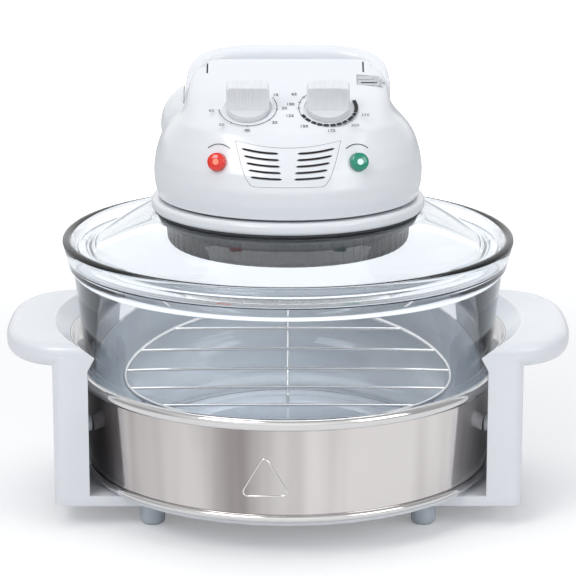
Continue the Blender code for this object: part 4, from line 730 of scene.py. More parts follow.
@dataclass
class BowlLook:
    """The glass bowl and the wire rack in it."""

    shop: Workshop
    bottom: float = 0.0376
    rim: float = 0.2001
    wall: float = 0.005
    base_radius: float = 0.106
    shoulder: float = 0.1482
    corner: float = 0.052
    neck: float = 0.1578
    collar_foot: float = 0.1605
    rim_radius: float = 0.1655
    rim_width: float = 0.0064
    lid_radius: float = 0.1558

    def build(self) -> None:
        """Make the bowl and the rack."""
        profile = self.profile()
        bowl = Sculptor.turned("bowl_look", profile, 256)
        self.shop.place(bowl, Finishes.GLASS, Body.BOWL, "glass_bowl", degrees=50)
        self.rack()

    def profile(self) -> list[Point2]:
        """Cross-section of the bowl: outer side, rolled rim, ledge, inner side."""
        corner_z = self.bottom + self.corner
        outer: list[Point2] = [(0.0, self.bottom)]
        reach = self.shoulder - self.base_radius
        for i in range(25):
            angle = -math.pi / 2 + math.pi / 2 * i / 24
            outer.append((self.base_radius + reach * math.cos(angle), corner_z + self.corner * math.sin(angle)))
        foot = self.rim - 0.024
        outer += [(self.neck - 0.0004, foot - 0.002), (self.neck + 0.0008, foot),
                  (self.collar_foot, foot + self.rim_width / 3), (self.collar_foot + 0.0006, foot + 0.0045)]
        bead = self.rim_width / 2
        outer += arc(self.rim_radius - bead, self.rim - bead, bead, -0.1, math.pi * 0.95, 14)
        ledge = self.rim - 0.016
        seat = self.neck - self.wall
        inner = [(self.lid_radius + 0.0022, ledge + 0.006), (self.lid_radius + 0.0011, ledge + 0.0004),
                 (self.lid_radius, ledge), (seat + 0.001, ledge), (seat, ledge - 0.001)]
        reach = self.shoulder - self.base_radius - self.wall / 2
        for i in range(24, -1, -1):
            angle = -math.pi / 2 + math.pi / 2 * i / 24
            inner.append((self.base_radius - self.wall / 2 + reach * math.cos(angle),
                          corner_z + (self.corner - self.wall) * math.sin(angle)))
        return outer + inner + [(0.0, self.bottom + self.wall)]

    def rack(self) -> None:
        """Rim ring, cross bars and bent legs of the rack."""
        wire, radius = 0.0014, 0.122
        floor = self.bottom + self.wall
        level = floor + 0.050
        rim = [(x, y, level) for x, y in arc(0, 0, radius, 0, math.tau, 144)[:-1]]
        ring = Sculptor.wire("rack_ring_look", rim, wire, cyclic=True)
        self.shop.place(ring, Finishes.TRIM, Body.RACK, "wire_rack")
        for i in range(5):
            offset = (i - 2) * 2 * radius / 6
            half = math.sqrt(radius ** 2 - offset ** 2)
            bar = Sculptor.wire(f"rack_bar_look_{i}", [(-half, offset, level), (half, offset, level)], wire * 0.7)
            self.shop.place(bar, Finishes.TRIM, Body.RACK)
        foot_r = self.base_radius - self.wall - 0.012
        foot_z = floor + wire + 0.0003
        for i, angle in enumerate(map(math.radians, (90, 210, 330))):
            out = Vector((math.cos(angle), math.sin(angle), 0.0))
            path = [out * (foot_r - 0.012) + Vector((0, 0, foot_z)), out * foot_r + Vector((0, 0, foot_z)),
                    out * (foot_r + 0.003) + Vector((0, 0, foot_z + 0.0015)),
                    out * (foot_r + 0.006) + Vector((0, 0, foot_z + 0.006)), out * radius + Vector((0, 0, level))]
            leg = Sculptor.wire(f"rack_leg_look_{i}", path, wire * 0.8)
            self.shop.place(leg, Finishes.TRIM, Body.RACK)


@dataclass
class LidLook:
    """Glass lid, the heater that hangs under it and the clamp ring that grips the lid."""

    shop: Workshop
    foot: float = 0.1844
    top: float = 0.2189
    glass: float = 0.0045
    radius: float = 0.1558
    heater_top: float = 0.2118
    heater_bottom: float = 0.1918
    heater_radius: float = 0.0882

    def build(self) -> None:
        """Make the lid's glass and the heater housing."""
        self.lid()
        self.heater()
        self.clamp()

    def lid(self) -> None:
        """Shallow dish of glass with a thick rounded rim."""
        rim_top = self.foot + 0.0085
        rim_in = self.radius - 0.0080
        shoulder = 0.1010
        span, rise = rim_in - shoulder, self.top - rim_top
        profile: list[Point2] = [(0.0800, self.top), (shoulder - 0.003, self.top)]
        shares = [i / 16 for i in range(17)]
        profile += [(shoulder + span * s, self.top - rise * (1.12 * s ** 1.35 - 0.12 * s ** 4)) for s in shares]
        profile += arc(self.radius - 0.003, rim_top - 0.003, 0.003, math.pi / 2, 0, 6)
        profile += arc(self.radius - 0.002, self.foot + 0.002, 0.002, 0, -math.pi / 2, 6)
        profile += [(rim_in - 0.001, self.foot), (rim_in - 0.003, self.foot + 0.0015)]
        low = self.top - self.glass
        profile += [(shoulder + (span - 0.0035) * s - 0.002, low - (rise - 0.001) * (1.12 * s ** 1.35 - 0.12 * s ** 4))
                    for s in reversed(shares[:-1])]
        profile += [(0.0800, low)]
        self.shop.place(Sculptor.turned("lid_look", profile, 256), Finishes.GLASS, Body.HEAD, "glass_lid", degrees=50)

    def heater(self) -> None:
        """Dark cup whose wall stands in upright ribs."""
        ribs, flute = 64, 0.0016
        levels = [(self.heater_radius - 0.0068, 0.0, self.heater_bottom)]
        for i in range(1, 7):
            a = math.pi / 2 * i / 6
            levels.append((self.heater_radius - 0.0068 + 0.0068 * math.sin(a), flute * i / 6,
                           self.heater_bottom + 0.0068 * (1 - math.cos(a))))
        levels.append((self.heater_radius, flute, self.heater_top))
        rings = []
        for radius, depth, z in levels:
            ring = []
            for i in range(ribs * 6):
                share = 1.0 if i % 6 in (1, 2, 3) else (0.0 if i % 6 == 5 else 0.35)
                r = radius - depth * (1 - share)
                a = math.tau * i / (ribs * 6)
                ring.append((r * math.cos(a), r * math.sin(a), z))
            rings.append(ring)
        cup = Sculptor.loft("heater_look", rings)
        inner = self.heater_radius - 0.0033
        cavity = Sculptor.turned("cavity", [
            (0.0, self.heater_bottom - 0.004), (inner - 0.0095, self.heater_bottom - 0.004),
            (inner - 0.0095, self.heater_bottom + 0.0016), (inner - 0.007, self.heater_bottom + 0.0016),
            (inner, self.heater_bottom + 0.007), (inner, self.heater_top + 0.004), (0.0, self.heater_top + 0.004)], 128)
        Sculptor.cut(cup, cavity)
        self.shop.place(cup, Finishes.DARK, Body.HEAD, "heater_housing", degrees=28)

    def clamp(self) -> None:
        """Ring that grips the lid's hole, a little wider than the heater."""
        low, high = 0.2121, 0.2141
        profile = [(0.0812, low), (0.0962, low), (0.0962, high), (0.0812, high)]
        self.shop.place(Sculptor.turned("clamp_look", profile, 192), Finishes.DARK, Body.HEAD, "clamp_ring")


class HeadForm:
    """Outer form of the head as smoothed sections over height."""

    BOTTOM = 0.2312
    HEIGHT = 0.0970
    RADIUS = 0.0980
    FOOT_Z = BOTTOM + 0.598 * HEIGHT
    FOOT_Y = -0.0750
    TILT = math.radians(28)

    LOW = ((0.000, 0.969, 0.969, 0.969, 2.00), (0.090, 0.994, 0.994, 0.994, 2.00), (0.200, 1.0, 1.0, 1.0, 2.00),
           (0.320, 0.985, 0.962, 0.975, 2.05), (0.450, 0.945, 0.885, 0.880, 2.15), (0.540, 0.890, 0.818, 0.760, 2.30))
    HIGH = ((0.000, 0.830, 0.640, 2.60), (0.130, 0.780, 0.530, 3.10), (0.320, 0.752, 0.390, 3.70),
            (0.520, 0.738, 0.270, 4.20), (0.720, 0.712, 0.180, 4.20), (0.880, 0.660, 0.115, 4.00),
            (0.965, 0.600, 0.085, 3.80), (1.000, 0.560, 0.060, 3.60))

    def __init__(self) -> None:
        top = self.BOTTOM + self.HEIGHT
        rows = [(self.BOTTOM + h * self.HEIGHT, w, -f, r, p) for h, w, f, r, p in self.LOW]
        for h, w, r, p in self.HIGH:
            z = self.FOOT_Z + h * (top - self.FOOT_Z)
            front = (self.FOOT_Y + (z - self.FOOT_Z) / math.tan(self.TILT)) / self.RADIUS
            rows.append((z, w, front, r, p))
        table = np.array(rows)
        self.z = np.linspace(self.BOTTOM, top, 98)
        self.columns = []
        for column in range(1, 5):
            values = np.interp(self.z, table[:, 0], table[:, column])
            self.columns.append(self.smooth(values, 3.0 if column != 2 else 1.2))

    @staticmethod
    def smooth(values: np.ndarray, sigma: float) -> np.ndarray:
        """Blur a row of values, carrying its slope on past both ends.

        Args:
            values: One value for each level.
            sigma: Width of the blur in levels.

        Returns:
            The smoothed values.
        """
        reach = int(sigma * 4)
        before = values[0] + (values[1] - values[0]) * np.arange(-reach, 0)
        after = values[-1] + (values[-1] - values[-2]) * np.arange(1, reach + 1)
        padded = np.concatenate([before, values, after])
        kernel = np.exp(-0.5 * (np.arange(-reach, reach + 1) / sigma) ** 2)
        return np.convolve(padded, kernel / kernel.sum(), "valid")

    def rings(self, inset: float = 0.0, points: int = 160, step: int = 1) -> list[list[Point3]]:
        """Rings of the form.

        Args:
            inset: How far the form is drawn in.
            points: Points in a ring.
            step: Take every step-th level.

        Returns:
            The rings from the bottom up.
        """
        made = []
        for i in range(0, len(self.z), step):
            width, front, rear, power = (column[i] for column in self.columns)
            half = width * self.RADIUS - inset
            near, far = front * self.RADIUS + inset * 1.2, rear * self.RADIUS - inset * 1.2
            if far - near < 0.004:
                break
            middle, depth = (near + far) / 2, (far - near) / 2
            z = self.z[i] - (inset if self.z[i] > self.FOOT_Z else 0.0)
            made.append([(x, middle + y, z) for x, y in
                         (superellipse(half, depth, power, math.tau * k / points) for k in range(points))])
        return made


DIAL_OFFSET = 0.0284


def panel_frame(x: float = 0.0) -> Matrix:
    """Frame of the panel at a dial, with +Z out of the panel."""
    y = -0.0495
    z = HeadForm.FOOT_Z + (y - HeadForm.FOOT_Y) * math.tan(HeadForm.TILT)
    return Matrix.Translation((x, y, z)) @ Matrix.Rotation(HeadForm.TILT, 4, "X")


def lens_frame(side: Side) -> Matrix:
    """Frame of a signal lens, with +Z out of the head."""
    place = Matrix.Translation((side.value * 0.0500, -0.0810, HeadForm.BOTTOM + 0.0388))
    turn = Matrix.Rotation(side.value * math.radians(12), 4, "Z")
    return place @ turn @ Matrix.Rotation(math.pi / 2 - math.radians(14), 4, "X")


STAND = Matrix.Rotation(math.pi / 2, 4, "X")


@dataclass
class HeadLook:
    """Collar, neck, domed shell, vent grille and lenses of the power head."""

    shop: Workshop
    form: HeadForm = field(default_factory=HeadForm)
    notch_in: float = 0.05915
    notch_out: float = 0.07645
    notch_front: float = -0.0047
    notch_floor: float = 0.2952
    latch_x: float = 0.0590

    def build(self) -> None:
        """Make every piece of the head's outside."""
        self.collar()
        self.shell()
        self.vent()
        self.lenses()
        self.recess_switch()

    def collar(self) -> None:
        """White collar ring with rounded edges and the grey neck above it."""
        low, high = 0.2207, 0.2292
        profile = [(0.0918, low), (0.0970, low)]
        profile += arc(0.0970, low + 0.003, 0.003, -math.pi / 2, 0, 8)
        profile += arc(0.0966, high - 0.0034, 0.0034, 0, math.pi / 2, 8)
        profile += [(0.0918, high)]
        self.shop.place(Sculptor.turned("collar_look", profile, 192), Finishes.WHITE, Body.HEAD, "head_collar")
        neck = [(0.016, 0.2207), (0.0915, 0.2207), (0.0915, 0.2367), (0.0890, 0.2367), (0.0890, 0.2232),
                (0.016, 0.2232)]
        self.shop.place(Sculptor.turned("neck_look", neck, 192), Finishes.SATIN, Body.HEAD, "lower_housing")

    def shell(self) -> None:
        """The domed shell with its console, cut for the handle, dials, grille and lenses."""
        shell = Sculptor.loft("shell_look", self.form.rings())
        top = HeadForm.BOTTOM + HeadForm.HEIGHT + 0.004
        for side in Side:
            a, b = sorted((side.value * self.notch_in, side.value * self.notch_out))
            Sculptor.cut(shell, Sculptor.box("notch", (a, self.notch_front, self.notch_floor), (b, 0.098, top)))
        Sculptor.cut(shell, Sculptor.box("latch_recess", (-0.0098, 0.0268, -0.0024), (0.0116, 0.0388, 0.004),
                                         panel_frame(self.latch_x)))
        for low, high in self.seams():
            Sculptor.cut(shell, Sculptor.box("seam", (low[0], low[1], top - 0.014), (high[0], high[1], top)))
        for side in Side:
            frame = panel_frame(side.value * DIAL_OFFSET)
            Sculptor.cut(shell, Sculptor.rod("recess", 0.0172, frame @ Vector((0, 0, -0.0016)),
                                             frame @ Vector((0, 0, 0.02)), 64))
            frame = lens_frame(side)
            Sculptor.cut(shell, Sculptor.rod("hole", 0.0067, frame @ Vector((0, 0, -0.012)),
                                             frame @ Vector((0, 0, 0.024)), 48))
        window = Sculptor.plate("window", self.vent_outline(0.0003), 0.070, 0.102, STAND)
        Sculptor.cut(shell, window)
        bottom = HeadForm.BOTTOM
        under = Sculptor.turned("hollow", [(0.0, bottom - 0.004), (0.0925, bottom - 0.004), (0.0925, bottom + 0.007),
                                           (0.0, bottom + 0.007)], 96)
        Sculptor.cut(shell, under)
        self.shop.place(shell, Finishes.WHITE, Body.HEAD, "upper_shell", degrees=32)

    @staticmethod
    def vent_outline(grow: float) -> list[Point2]:
        """Front-view outline of the grille: a tapered shield with a dipped top edge."""
        top, foot = HeadForm.BOTTOM + 0.0530, HeadForm.BOTTOM + 0.0238
        half_top, half_foot = 0.0370 + grow, 0.0265 + grow
        upper = [(half_top * s, top + grow - 0.0042 * (1 - s ** 2)) for s in (1 - i / 12 for i in range(25))]
        upper[0] = (half_top, top + grow - 0.0002)
        upper[-1] = (-half_top, top + grow - 0.0002)
        right = [(half_foot - 0.0012, foot - grow), (half_foot + 0.0028, foot + 0.0050),
                 ((half_foot + half_top) / 2 + 0.0012, (top + foot) / 2)]
        left = [(-x, z) for x, z in reversed(right)]
        outline = right + upper + left
        radii = [0.005, 0.006, 0.014, 0.0042] + [0.0] * 23 + [0.0042, 0.014, 0.006, 0.005]
        return round_corners(outline, radii)

    def vent(self) -> None:
        """Grille insert that follows the dome, with ten sagging slots over a near-black sheet of painted shade that
        stands for the dim inside of the head.
        """
        grille = Sculptor.plate("grille_look", self.vent_outline(0.0), 0.060, 0.102, STAND)
        outer = Sculptor.loft("outer", self.form.rings(0.0))
        inner = Sculptor.loft("inner", self.form.rings(0.0022, 96, 2))
        Sculptor.combine(grille, [outer], "INTERSECT")
        Sculptor.cut(grille, inner)
        for row in range(5):
            for side in Side:
                slot = Sculptor.plate("slot", self.slot_outline(row, side), 0.030, 0.102, STAND)
                Sculptor.cut(grille, slot)
        self.shop.place(grille, Finishes.WHITE, Body.HEAD, "vent_grille", degrees=32)
        # painted shade: a near-black sheet behind the slots stands for the dim inside of the head
        painted_shade_sheet = Sculptor.plate("grille_painted_shade", self.vent_outline(-0.0012), 0.060, 0.102, STAND)
        Sculptor.combine(painted_shade_sheet, [Sculptor.loft("deep", self.form.rings(0.0042, 96, 2))], "INTERSECT")
        self.shop.place(painted_shade_sheet, Finishes.SHADE, Body.HEAD)

    @staticmethod
    def slot_outline(row: int, side: Side) -> list[Point2]:
        """One curved louvre slot with rounded ends."""
        z_outer = HeadForm.BOTTOM + 0.0480 - row * 0.0045
        share = (z_outer - HeadForm.BOTTOM - 0.0238) / 0.0292
        outer = 0.0265 + 0.0105 * share - 0.0026
        inner = 0.0066 - row * 0.0006
        drop = 0.0026 - row * 0.0004
        upper, lower = [], []
        for i in range(17):
            s = i / 16
            x = inner + (outer - inner) * s
            z = z_outer - drop * (1 - s ** 2)
            taper = 0.00085 * math.sqrt(max(0.04, 1 - abs(2 * s - 1) ** 12))
            upper.append((side.value * x, z + taper))
            lower.append((side.value * x, z - taper))
        return upper + lower[::-1]

    def lenses(self) -> None:
        """Red and green signal lenses with a bright bulb behind each face."""
        for side, label, finish, glow in ((Side.LEFT, "power", Finishes.RED, Finishes.GLOW_RED),
                                          (Side.RIGHT, "heat", Finishes.GREEN, Finishes.GLOW)):
            frame = lens_frame(side)
            dome = [(0.0064 * math.sin(a), 0.0016 + 0.0020 * math.cos(a))
                    for a in (math.pi / 2 * i / 12 for i in range(13))]
            lens = Sculptor.turned(f"{label}_lens_look", dome + [(0.0064, -0.012), (0.0, -0.012)], 64)
            lens.matrix_world = frame
            self.shop.place(lens, finish, Body.HEAD, f"{label}_lens", f"{label}_lamp")
            bulb = [(0.0, 0.00375), (0.0021, 0.0035), (0.0024, 0.0030), (0.0, 0.0028)]
            spot = Sculptor.turned(f"{label}_glow", bulb, 32)
            spot.matrix_world = frame
            self.shop.place(spot, glow, Body.HEAD)

    @staticmethod
    def seams() -> list[tuple[Point2, Point2]]:
        """Plan corners of the seam grooves in front of the handle's slots; the grooves are cut, and their dark look is
        painted shade from black strips inside.
        """
        return [((-0.0588, -0.0125), (-0.0576, 0.0)), ((0.0536, -0.0120), (0.0548, 0.0))]

    def recess_switch(self) -> None:
        """Grey latch in its recess on the right of the console, with a black strip of painted shadow along its slot,
        and black strips of painted shade inside the two seams.
        """
        frame = panel_frame(self.latch_x)
        body = Sculptor.box("latch_look", (-0.0092, 0.0274, -0.0040), (0.0066, 0.0380, -0.0013), frame)
        for low, high in (((0.0030, 0.0300, -0.002), (0.0042, 0.0372, -0.0004)),
                          ((0.0074, 0.0276, -0.006), (0.0086, 0.0372, -0.0026)),
                          ((0.0060, 0.0330, -0.006), (0.0108, 0.0344, -0.0030)),
                          ((-0.0088, 0.0335, -0.002), (0.0022, 0.0374, -0.0007))):
            Sculptor.join(body, Sculptor.box("tab", low, high, frame))
        self.shop.place(body, Finishes.LATCH, Body.HEAD)
        # painted shadow: a thin black strip on the latch stands for the shadow line of its slot
        slot_shadow = Sculptor.box("latch_slot_painted_shadow", (-0.0066, 0.0296, -0.0016), (0.0048, 0.0306, -0.0011), frame)
        self.shop.place(slot_shadow, Finishes.BLACK, Body.HEAD)
        # painted shade: a black strip just under the skin inside each seam groove stands for the shade in the groove
        for i, (low, high) in enumerate(self.seams()):
            floor, above = 0.312, 0.334
            depth = Sculptor.box(f"seam_painted_shade_{i}", (low[0], low[1], floor), (high[0], high[1], above))
            Sculptor.combine(depth, [Sculptor.loft("under_skin", self.form.rings(0.0005, 96, 2))], "INTERSECT")
            self.shop.place(depth, Finishes.BLACK, Body.HEAD)


@dataclass
class PanelPrint:
    """Printed dial scales: rings, ticks and plain numbers, a hair above the panel."""

    shop: Workshop
    lift: float = 0.00012
    thick: float = 0.00008
    type_size: float = 0.0040
    heavy_arcs: tuple[tuple[int, int], ...] = (
        (66, 106), (108, 118), (120, 136), (139, 150), (152, 163), (165, 176),
        (179, 190), (192, 203), (205, 216), (219, 232), (234, 246))
    minutes: tuple[tuple[str, float, float], ...] = (
        ("10", 0.0195, 0.0142), ("20", 0.0258, -0.0010), ("30", 0.0190, -0.0172),
        ("40", -0.0004, -0.0256), ("50", -0.0182, -0.0195), ("60", -0.0258, -0.0036))
    temperatures: tuple[tuple[str, float, float], ...] = (
        ("65", -0.0240, 0.0150), ("100", -0.0268, 0.0035), ("125", -0.0272, -0.0095),
        ("150", -0.0172, -0.0212), ("175", 0.0020, -0.0262), ("200", 0.0188, -0.0202),
        ("250", 0.0262, -0.0085))

    def build(self) -> None:
        """Print both dials and the arcs over the lenses."""
        self.timer()
        self.thermostat()
        self.lens_arcs()

    def stroke(self, name: str, side: Side, radius: float, width: float, start: float, end: float) -> None:
        """An arc printed round a dial; angles in degrees, clockwise from the top."""
        a, b = math.radians(90 - start), math.radians(90 - end)
        steps = max(2, int(abs(end - start) / 3))
        outline = arc(0, 0, radius + width / 2, a, b, steps) + arc(0, 0, radius - width / 2, b, a, steps)
        mark = Sculptor.plate(name, outline, self.lift, self.lift + self.thick, panel_frame(side.value * DIAL_OFFSET))
        self.shop.place(mark, Finishes.PRINT, Body.HEAD)

    def tick(self, name: str, side: Side, angle: float, inner: float, outer: float, width: float) -> None:
        """A radial tick at an angle in degrees, clockwise from the top."""
        turn = Matrix.Rotation(-math.radians(angle), 4, "Z")
        mark = Sculptor.box(name, (-width / 2, inner, self.lift), (width / 2, outer, self.lift + self.thick),
                            panel_frame(side.value * DIAL_OFFSET) @ turn)
        self.shop.place(mark, Finishes.PRINT, Body.HEAD)

    def number(self, text: str, side: Side, x: float, y: float, size: float) -> None:
        """A plain number beside a dial.

        Args:
            text: The digits.
            side: Which dial.
            x: Offset to the right of the dial's middle.
            y: Offset up the panel from the dial's middle.
            size: Height of the type.
        """
        curve = bpy.data.curves.new(f"number_{side.label}_{text}", "FONT")
        curve.body = text
        curve.size = size
        curve.align_x = "CENTER"
        curve.align_y = "CENTER"
        curve.extrude = self.thick / 2
        item = bpy.data.objects.new(curve.name, curve)
        bpy.context.scene.collection.objects.link(item)
        item.matrix_world = panel_frame(side.value * DIAL_OFFSET) @ Matrix.Translation((x, y, self.lift + self.thick))
        self.shop.place(item, Finishes.PRINT, Body.HEAD)

    def timer(self) -> None:
        """Timer scale: a thin open ring, ticks and minutes."""
        side = Side.LEFT
        self.stroke("timer_ring", side, 0.0206, 0.00045, 62, 262)
        for i, angle in enumerate((58, 96, 133, 180, 214, 262)):
            self.tick(f"timer_tick_{i}", side, angle, 0.0200, 0.0216, 0.0004)
        for text, x, y in self.minutes:
            self.number(text, side, x, y, self.type_size)

    def thermostat(self) -> None:
        """Thermostat scale: a heavy segmented ring and temperatures."""
        side = Side.RIGHT
        for i, (start, end) in enumerate(self.heavy_arcs):
            self.stroke(f"thermostat_ring_{i}", side, 0.0200, 0.0026, start, end)
        self.stroke("thermostat_hairline", side, 0.0208, 0.0004, 246, 322)
        for i, angle in enumerate((268, 286, 304, 322)):
            self.tick(f"thermostat_tick_{i}", side, angle, 0.0196, 0.0220, 0.0004)
        for text, x, y in self.temperatures:
            self.number(text, side, x, y, self.type_size)

    def lens_arcs(self) -> None:
        """A thin arc above each lens, where the words are left off, laid on the skin of the head."""
        rings = HeadForm().rings()
        count = len(rings[0])
        corners = [Vector(point) for ring in rings for point in ring]
        faces = [(k * count + i, k * count + (i + 1) % count, (k + 1) * count + (i + 1) % count, (k + 1) * count + i)
                 for k in range(len(rings) - 1) for i in range(count)]
        skin = BVHTree.FromPolygons(corners, faces)
        for side in Side:
            frame = lens_frame(side)
            out = (frame.to_3x3() @ Vector((0.0, 0.0, 1.0))).normalized()
            points = []
            for i in range(17):
                a = math.radians(50 + 80 * i / 16)
                start = frame @ Vector((0.0128 * math.cos(a), 0.0128 * math.sin(a), 0.03))
                place, normal, _, _ = skin.ray_cast(start, -out)
                points.append(place + normal * (0.0002 if normal.dot(out) > 0 else -0.0002))
            line = Sculptor.wire(f"lens_arc_{side.label}", points, 0.00028)
            self.shop.place(line, Finishes.PRINT, Body.HEAD)


@dataclass
class KnobLook:
    """The two dial knobs with their ribbed finger bars."""

    shop: Workshop
    radius: float = 0.0154
    height: float = 0.0206
    skirt: float = 0.0034
    base: float = -0.0013

    def build(self) -> None:
        """Make both knobs."""
        self.knob(Side.LEFT, Body.TIMER, "timer")
        self.knob(Side.RIGHT, Body.THERMOSTAT, "thermostat")

    def knob(self, side: Side, body: Body, label: str) -> None:
        """Round skirt, scooped flanks and upright ribs.

        Args:
            side: Which dial.
            body: CAD body of the dial.
            label: Name of the dial in the frame.
        """
        r, h = self.radius, self.height
        profile = [(0.0, self.base), (r, self.base), (r, self.skirt * 0.7), (r * 0.99, h - 0.0030),
                   *arc(r * 0.985 - 0.0022, h - 0.0022, 0.0022, 0, math.pi / 2, 8), (0.0, h)]
        knob = Sculptor.turned(f"{label}_knob_look", profile, 96)
        stand = Matrix.Rotation(math.pi / 2, 4, "Z") @ STAND
        for turn in (0.0, math.pi):
            outline = []
            for i in range(17):
                s = i / 16
                outline.append((0.0044 + 0.0031 * (1 - s) ** 2.5, self.skirt + (h - self.skirt) * s))
            outline += [(0.0044, h + 0.004), (r + 0.004, h + 0.004), (r + 0.004, self.skirt)]
            scoop = Sculptor.plate("scoop", outline, -r - 0.004, r + 0.004, Matrix.Rotation(turn, 4, "Z") @ stand)
            Sculptor.cut(knob, scoop)
        for i in range(13):
            x = (i - 6) * 0.00232
            top = h + (0.0004 if abs(i - 6) < 5 else -0.0008)
            flank = [(0.0049 + 0.0031 * (1 - k / 12) ** 2.5, self.skirt * 0.8 + (top - self.skirt * 0.8) * k / 12)
                     for k in range(13)]
            section = flank + [(-y, z) for y, z in reversed(flank)]
            rib = Sculptor.plate("rib", section, x - 0.0005, x + 0.0005, stand)
            Sculptor.rounded(rib, 0.0002, 2, 60)
            Sculptor.join(knob, rib)
        knob.matrix_world = panel_frame(side.value * DIAL_OFFSET)
        self.shop.place(knob, Finishes.KNOB, body, f"{label}_knob")


@dataclass
class BailLook:
    """The folding carrying handle and the rear cover."""

    shop: Workshop
    half_width: float = 0.0675
    reach: float = 0.0480
    power: float = 3.6
    tilt: float = math.radians(22)
    thickness: float = 0.0135
    height: float = 0.0158
    ear: float = 0.0085
    pivot: Point3 = (0.0, 0.005, 0.3057)

    def build(self) -> None:
        """Make the handle and the cover."""
        self.handle()
        self.cover()

    def handle(self) -> None:
        """Swept bar of rounded section between two round ears."""
        pivot = Matrix.Translation(self.pivot) @ Matrix.Rotation(self.tilt, 4, "X")
        count = 72
        path = [Vector((*superellipse(self.half_width, self.reach, self.power, math.pi * i / count), 0.0))
                for i in range(count + 1)]
        rings = []
        for i, point in enumerate(path):
            along = (path[min(i + 1, count)] - path[max(i - 1, 0)]).normalized()
            if i in (0, count):
                along = Vector((0.0, 1.0 if i == 0 else -1.0, 0.0))
            across = Vector((along.y, -along.x, 0.0))
            ring = []
            for k in range(36):
                u, v = superellipse(self.thickness / 2, self.height / 2, 2.6, math.tau * k / 36)
                ring.append(tuple(point + across * u + Vector((0.0, 0.0, v))))
            rings.append(ring)
        bail = Sculptor.loft("bail_look", rings)
        half = self.thickness / 2
        for side in Side:
            x = side.value * self.half_width
            ear = Sculptor.rod("ear", self.ear, (x - half, 0, 0), (x + half, 0, 0), 48)
            Sculptor.rounded(ear, 0.0015, 3)
            Sculptor.join(bail, ear)
        bail.matrix_world = pivot
        self.shop.place(bail, Finishes.WHITE, Body.BAIL, "bail_handle", degrees=40)

    def cover(self) -> None:
        """Rounded rear cover on the left of the head."""
        bm = bmesh.new()
        bmesh.ops.create_uvsphere(bm, u_segments=96, v_segments=48, radius=1)
        bmesh.ops.scale(bm, vec=(0.0360, 0.0360, 0.0330), verts=bm.verts)
        bmesh.ops.translate(bm, vec=(-0.0580, 0.0300, 0.2762), verts=bm.verts)
        cover = Sculptor._object("cover_look", bm)
        Sculptor.cut(cover, Sculptor.box("flat", (-0.07645, -0.01, 0.2952), (-0.018, 0.098, 0.3282)))
        self.shop.place(cover, Finishes.WHITE, Body.HEAD, "terminal_cover", degrees=40)


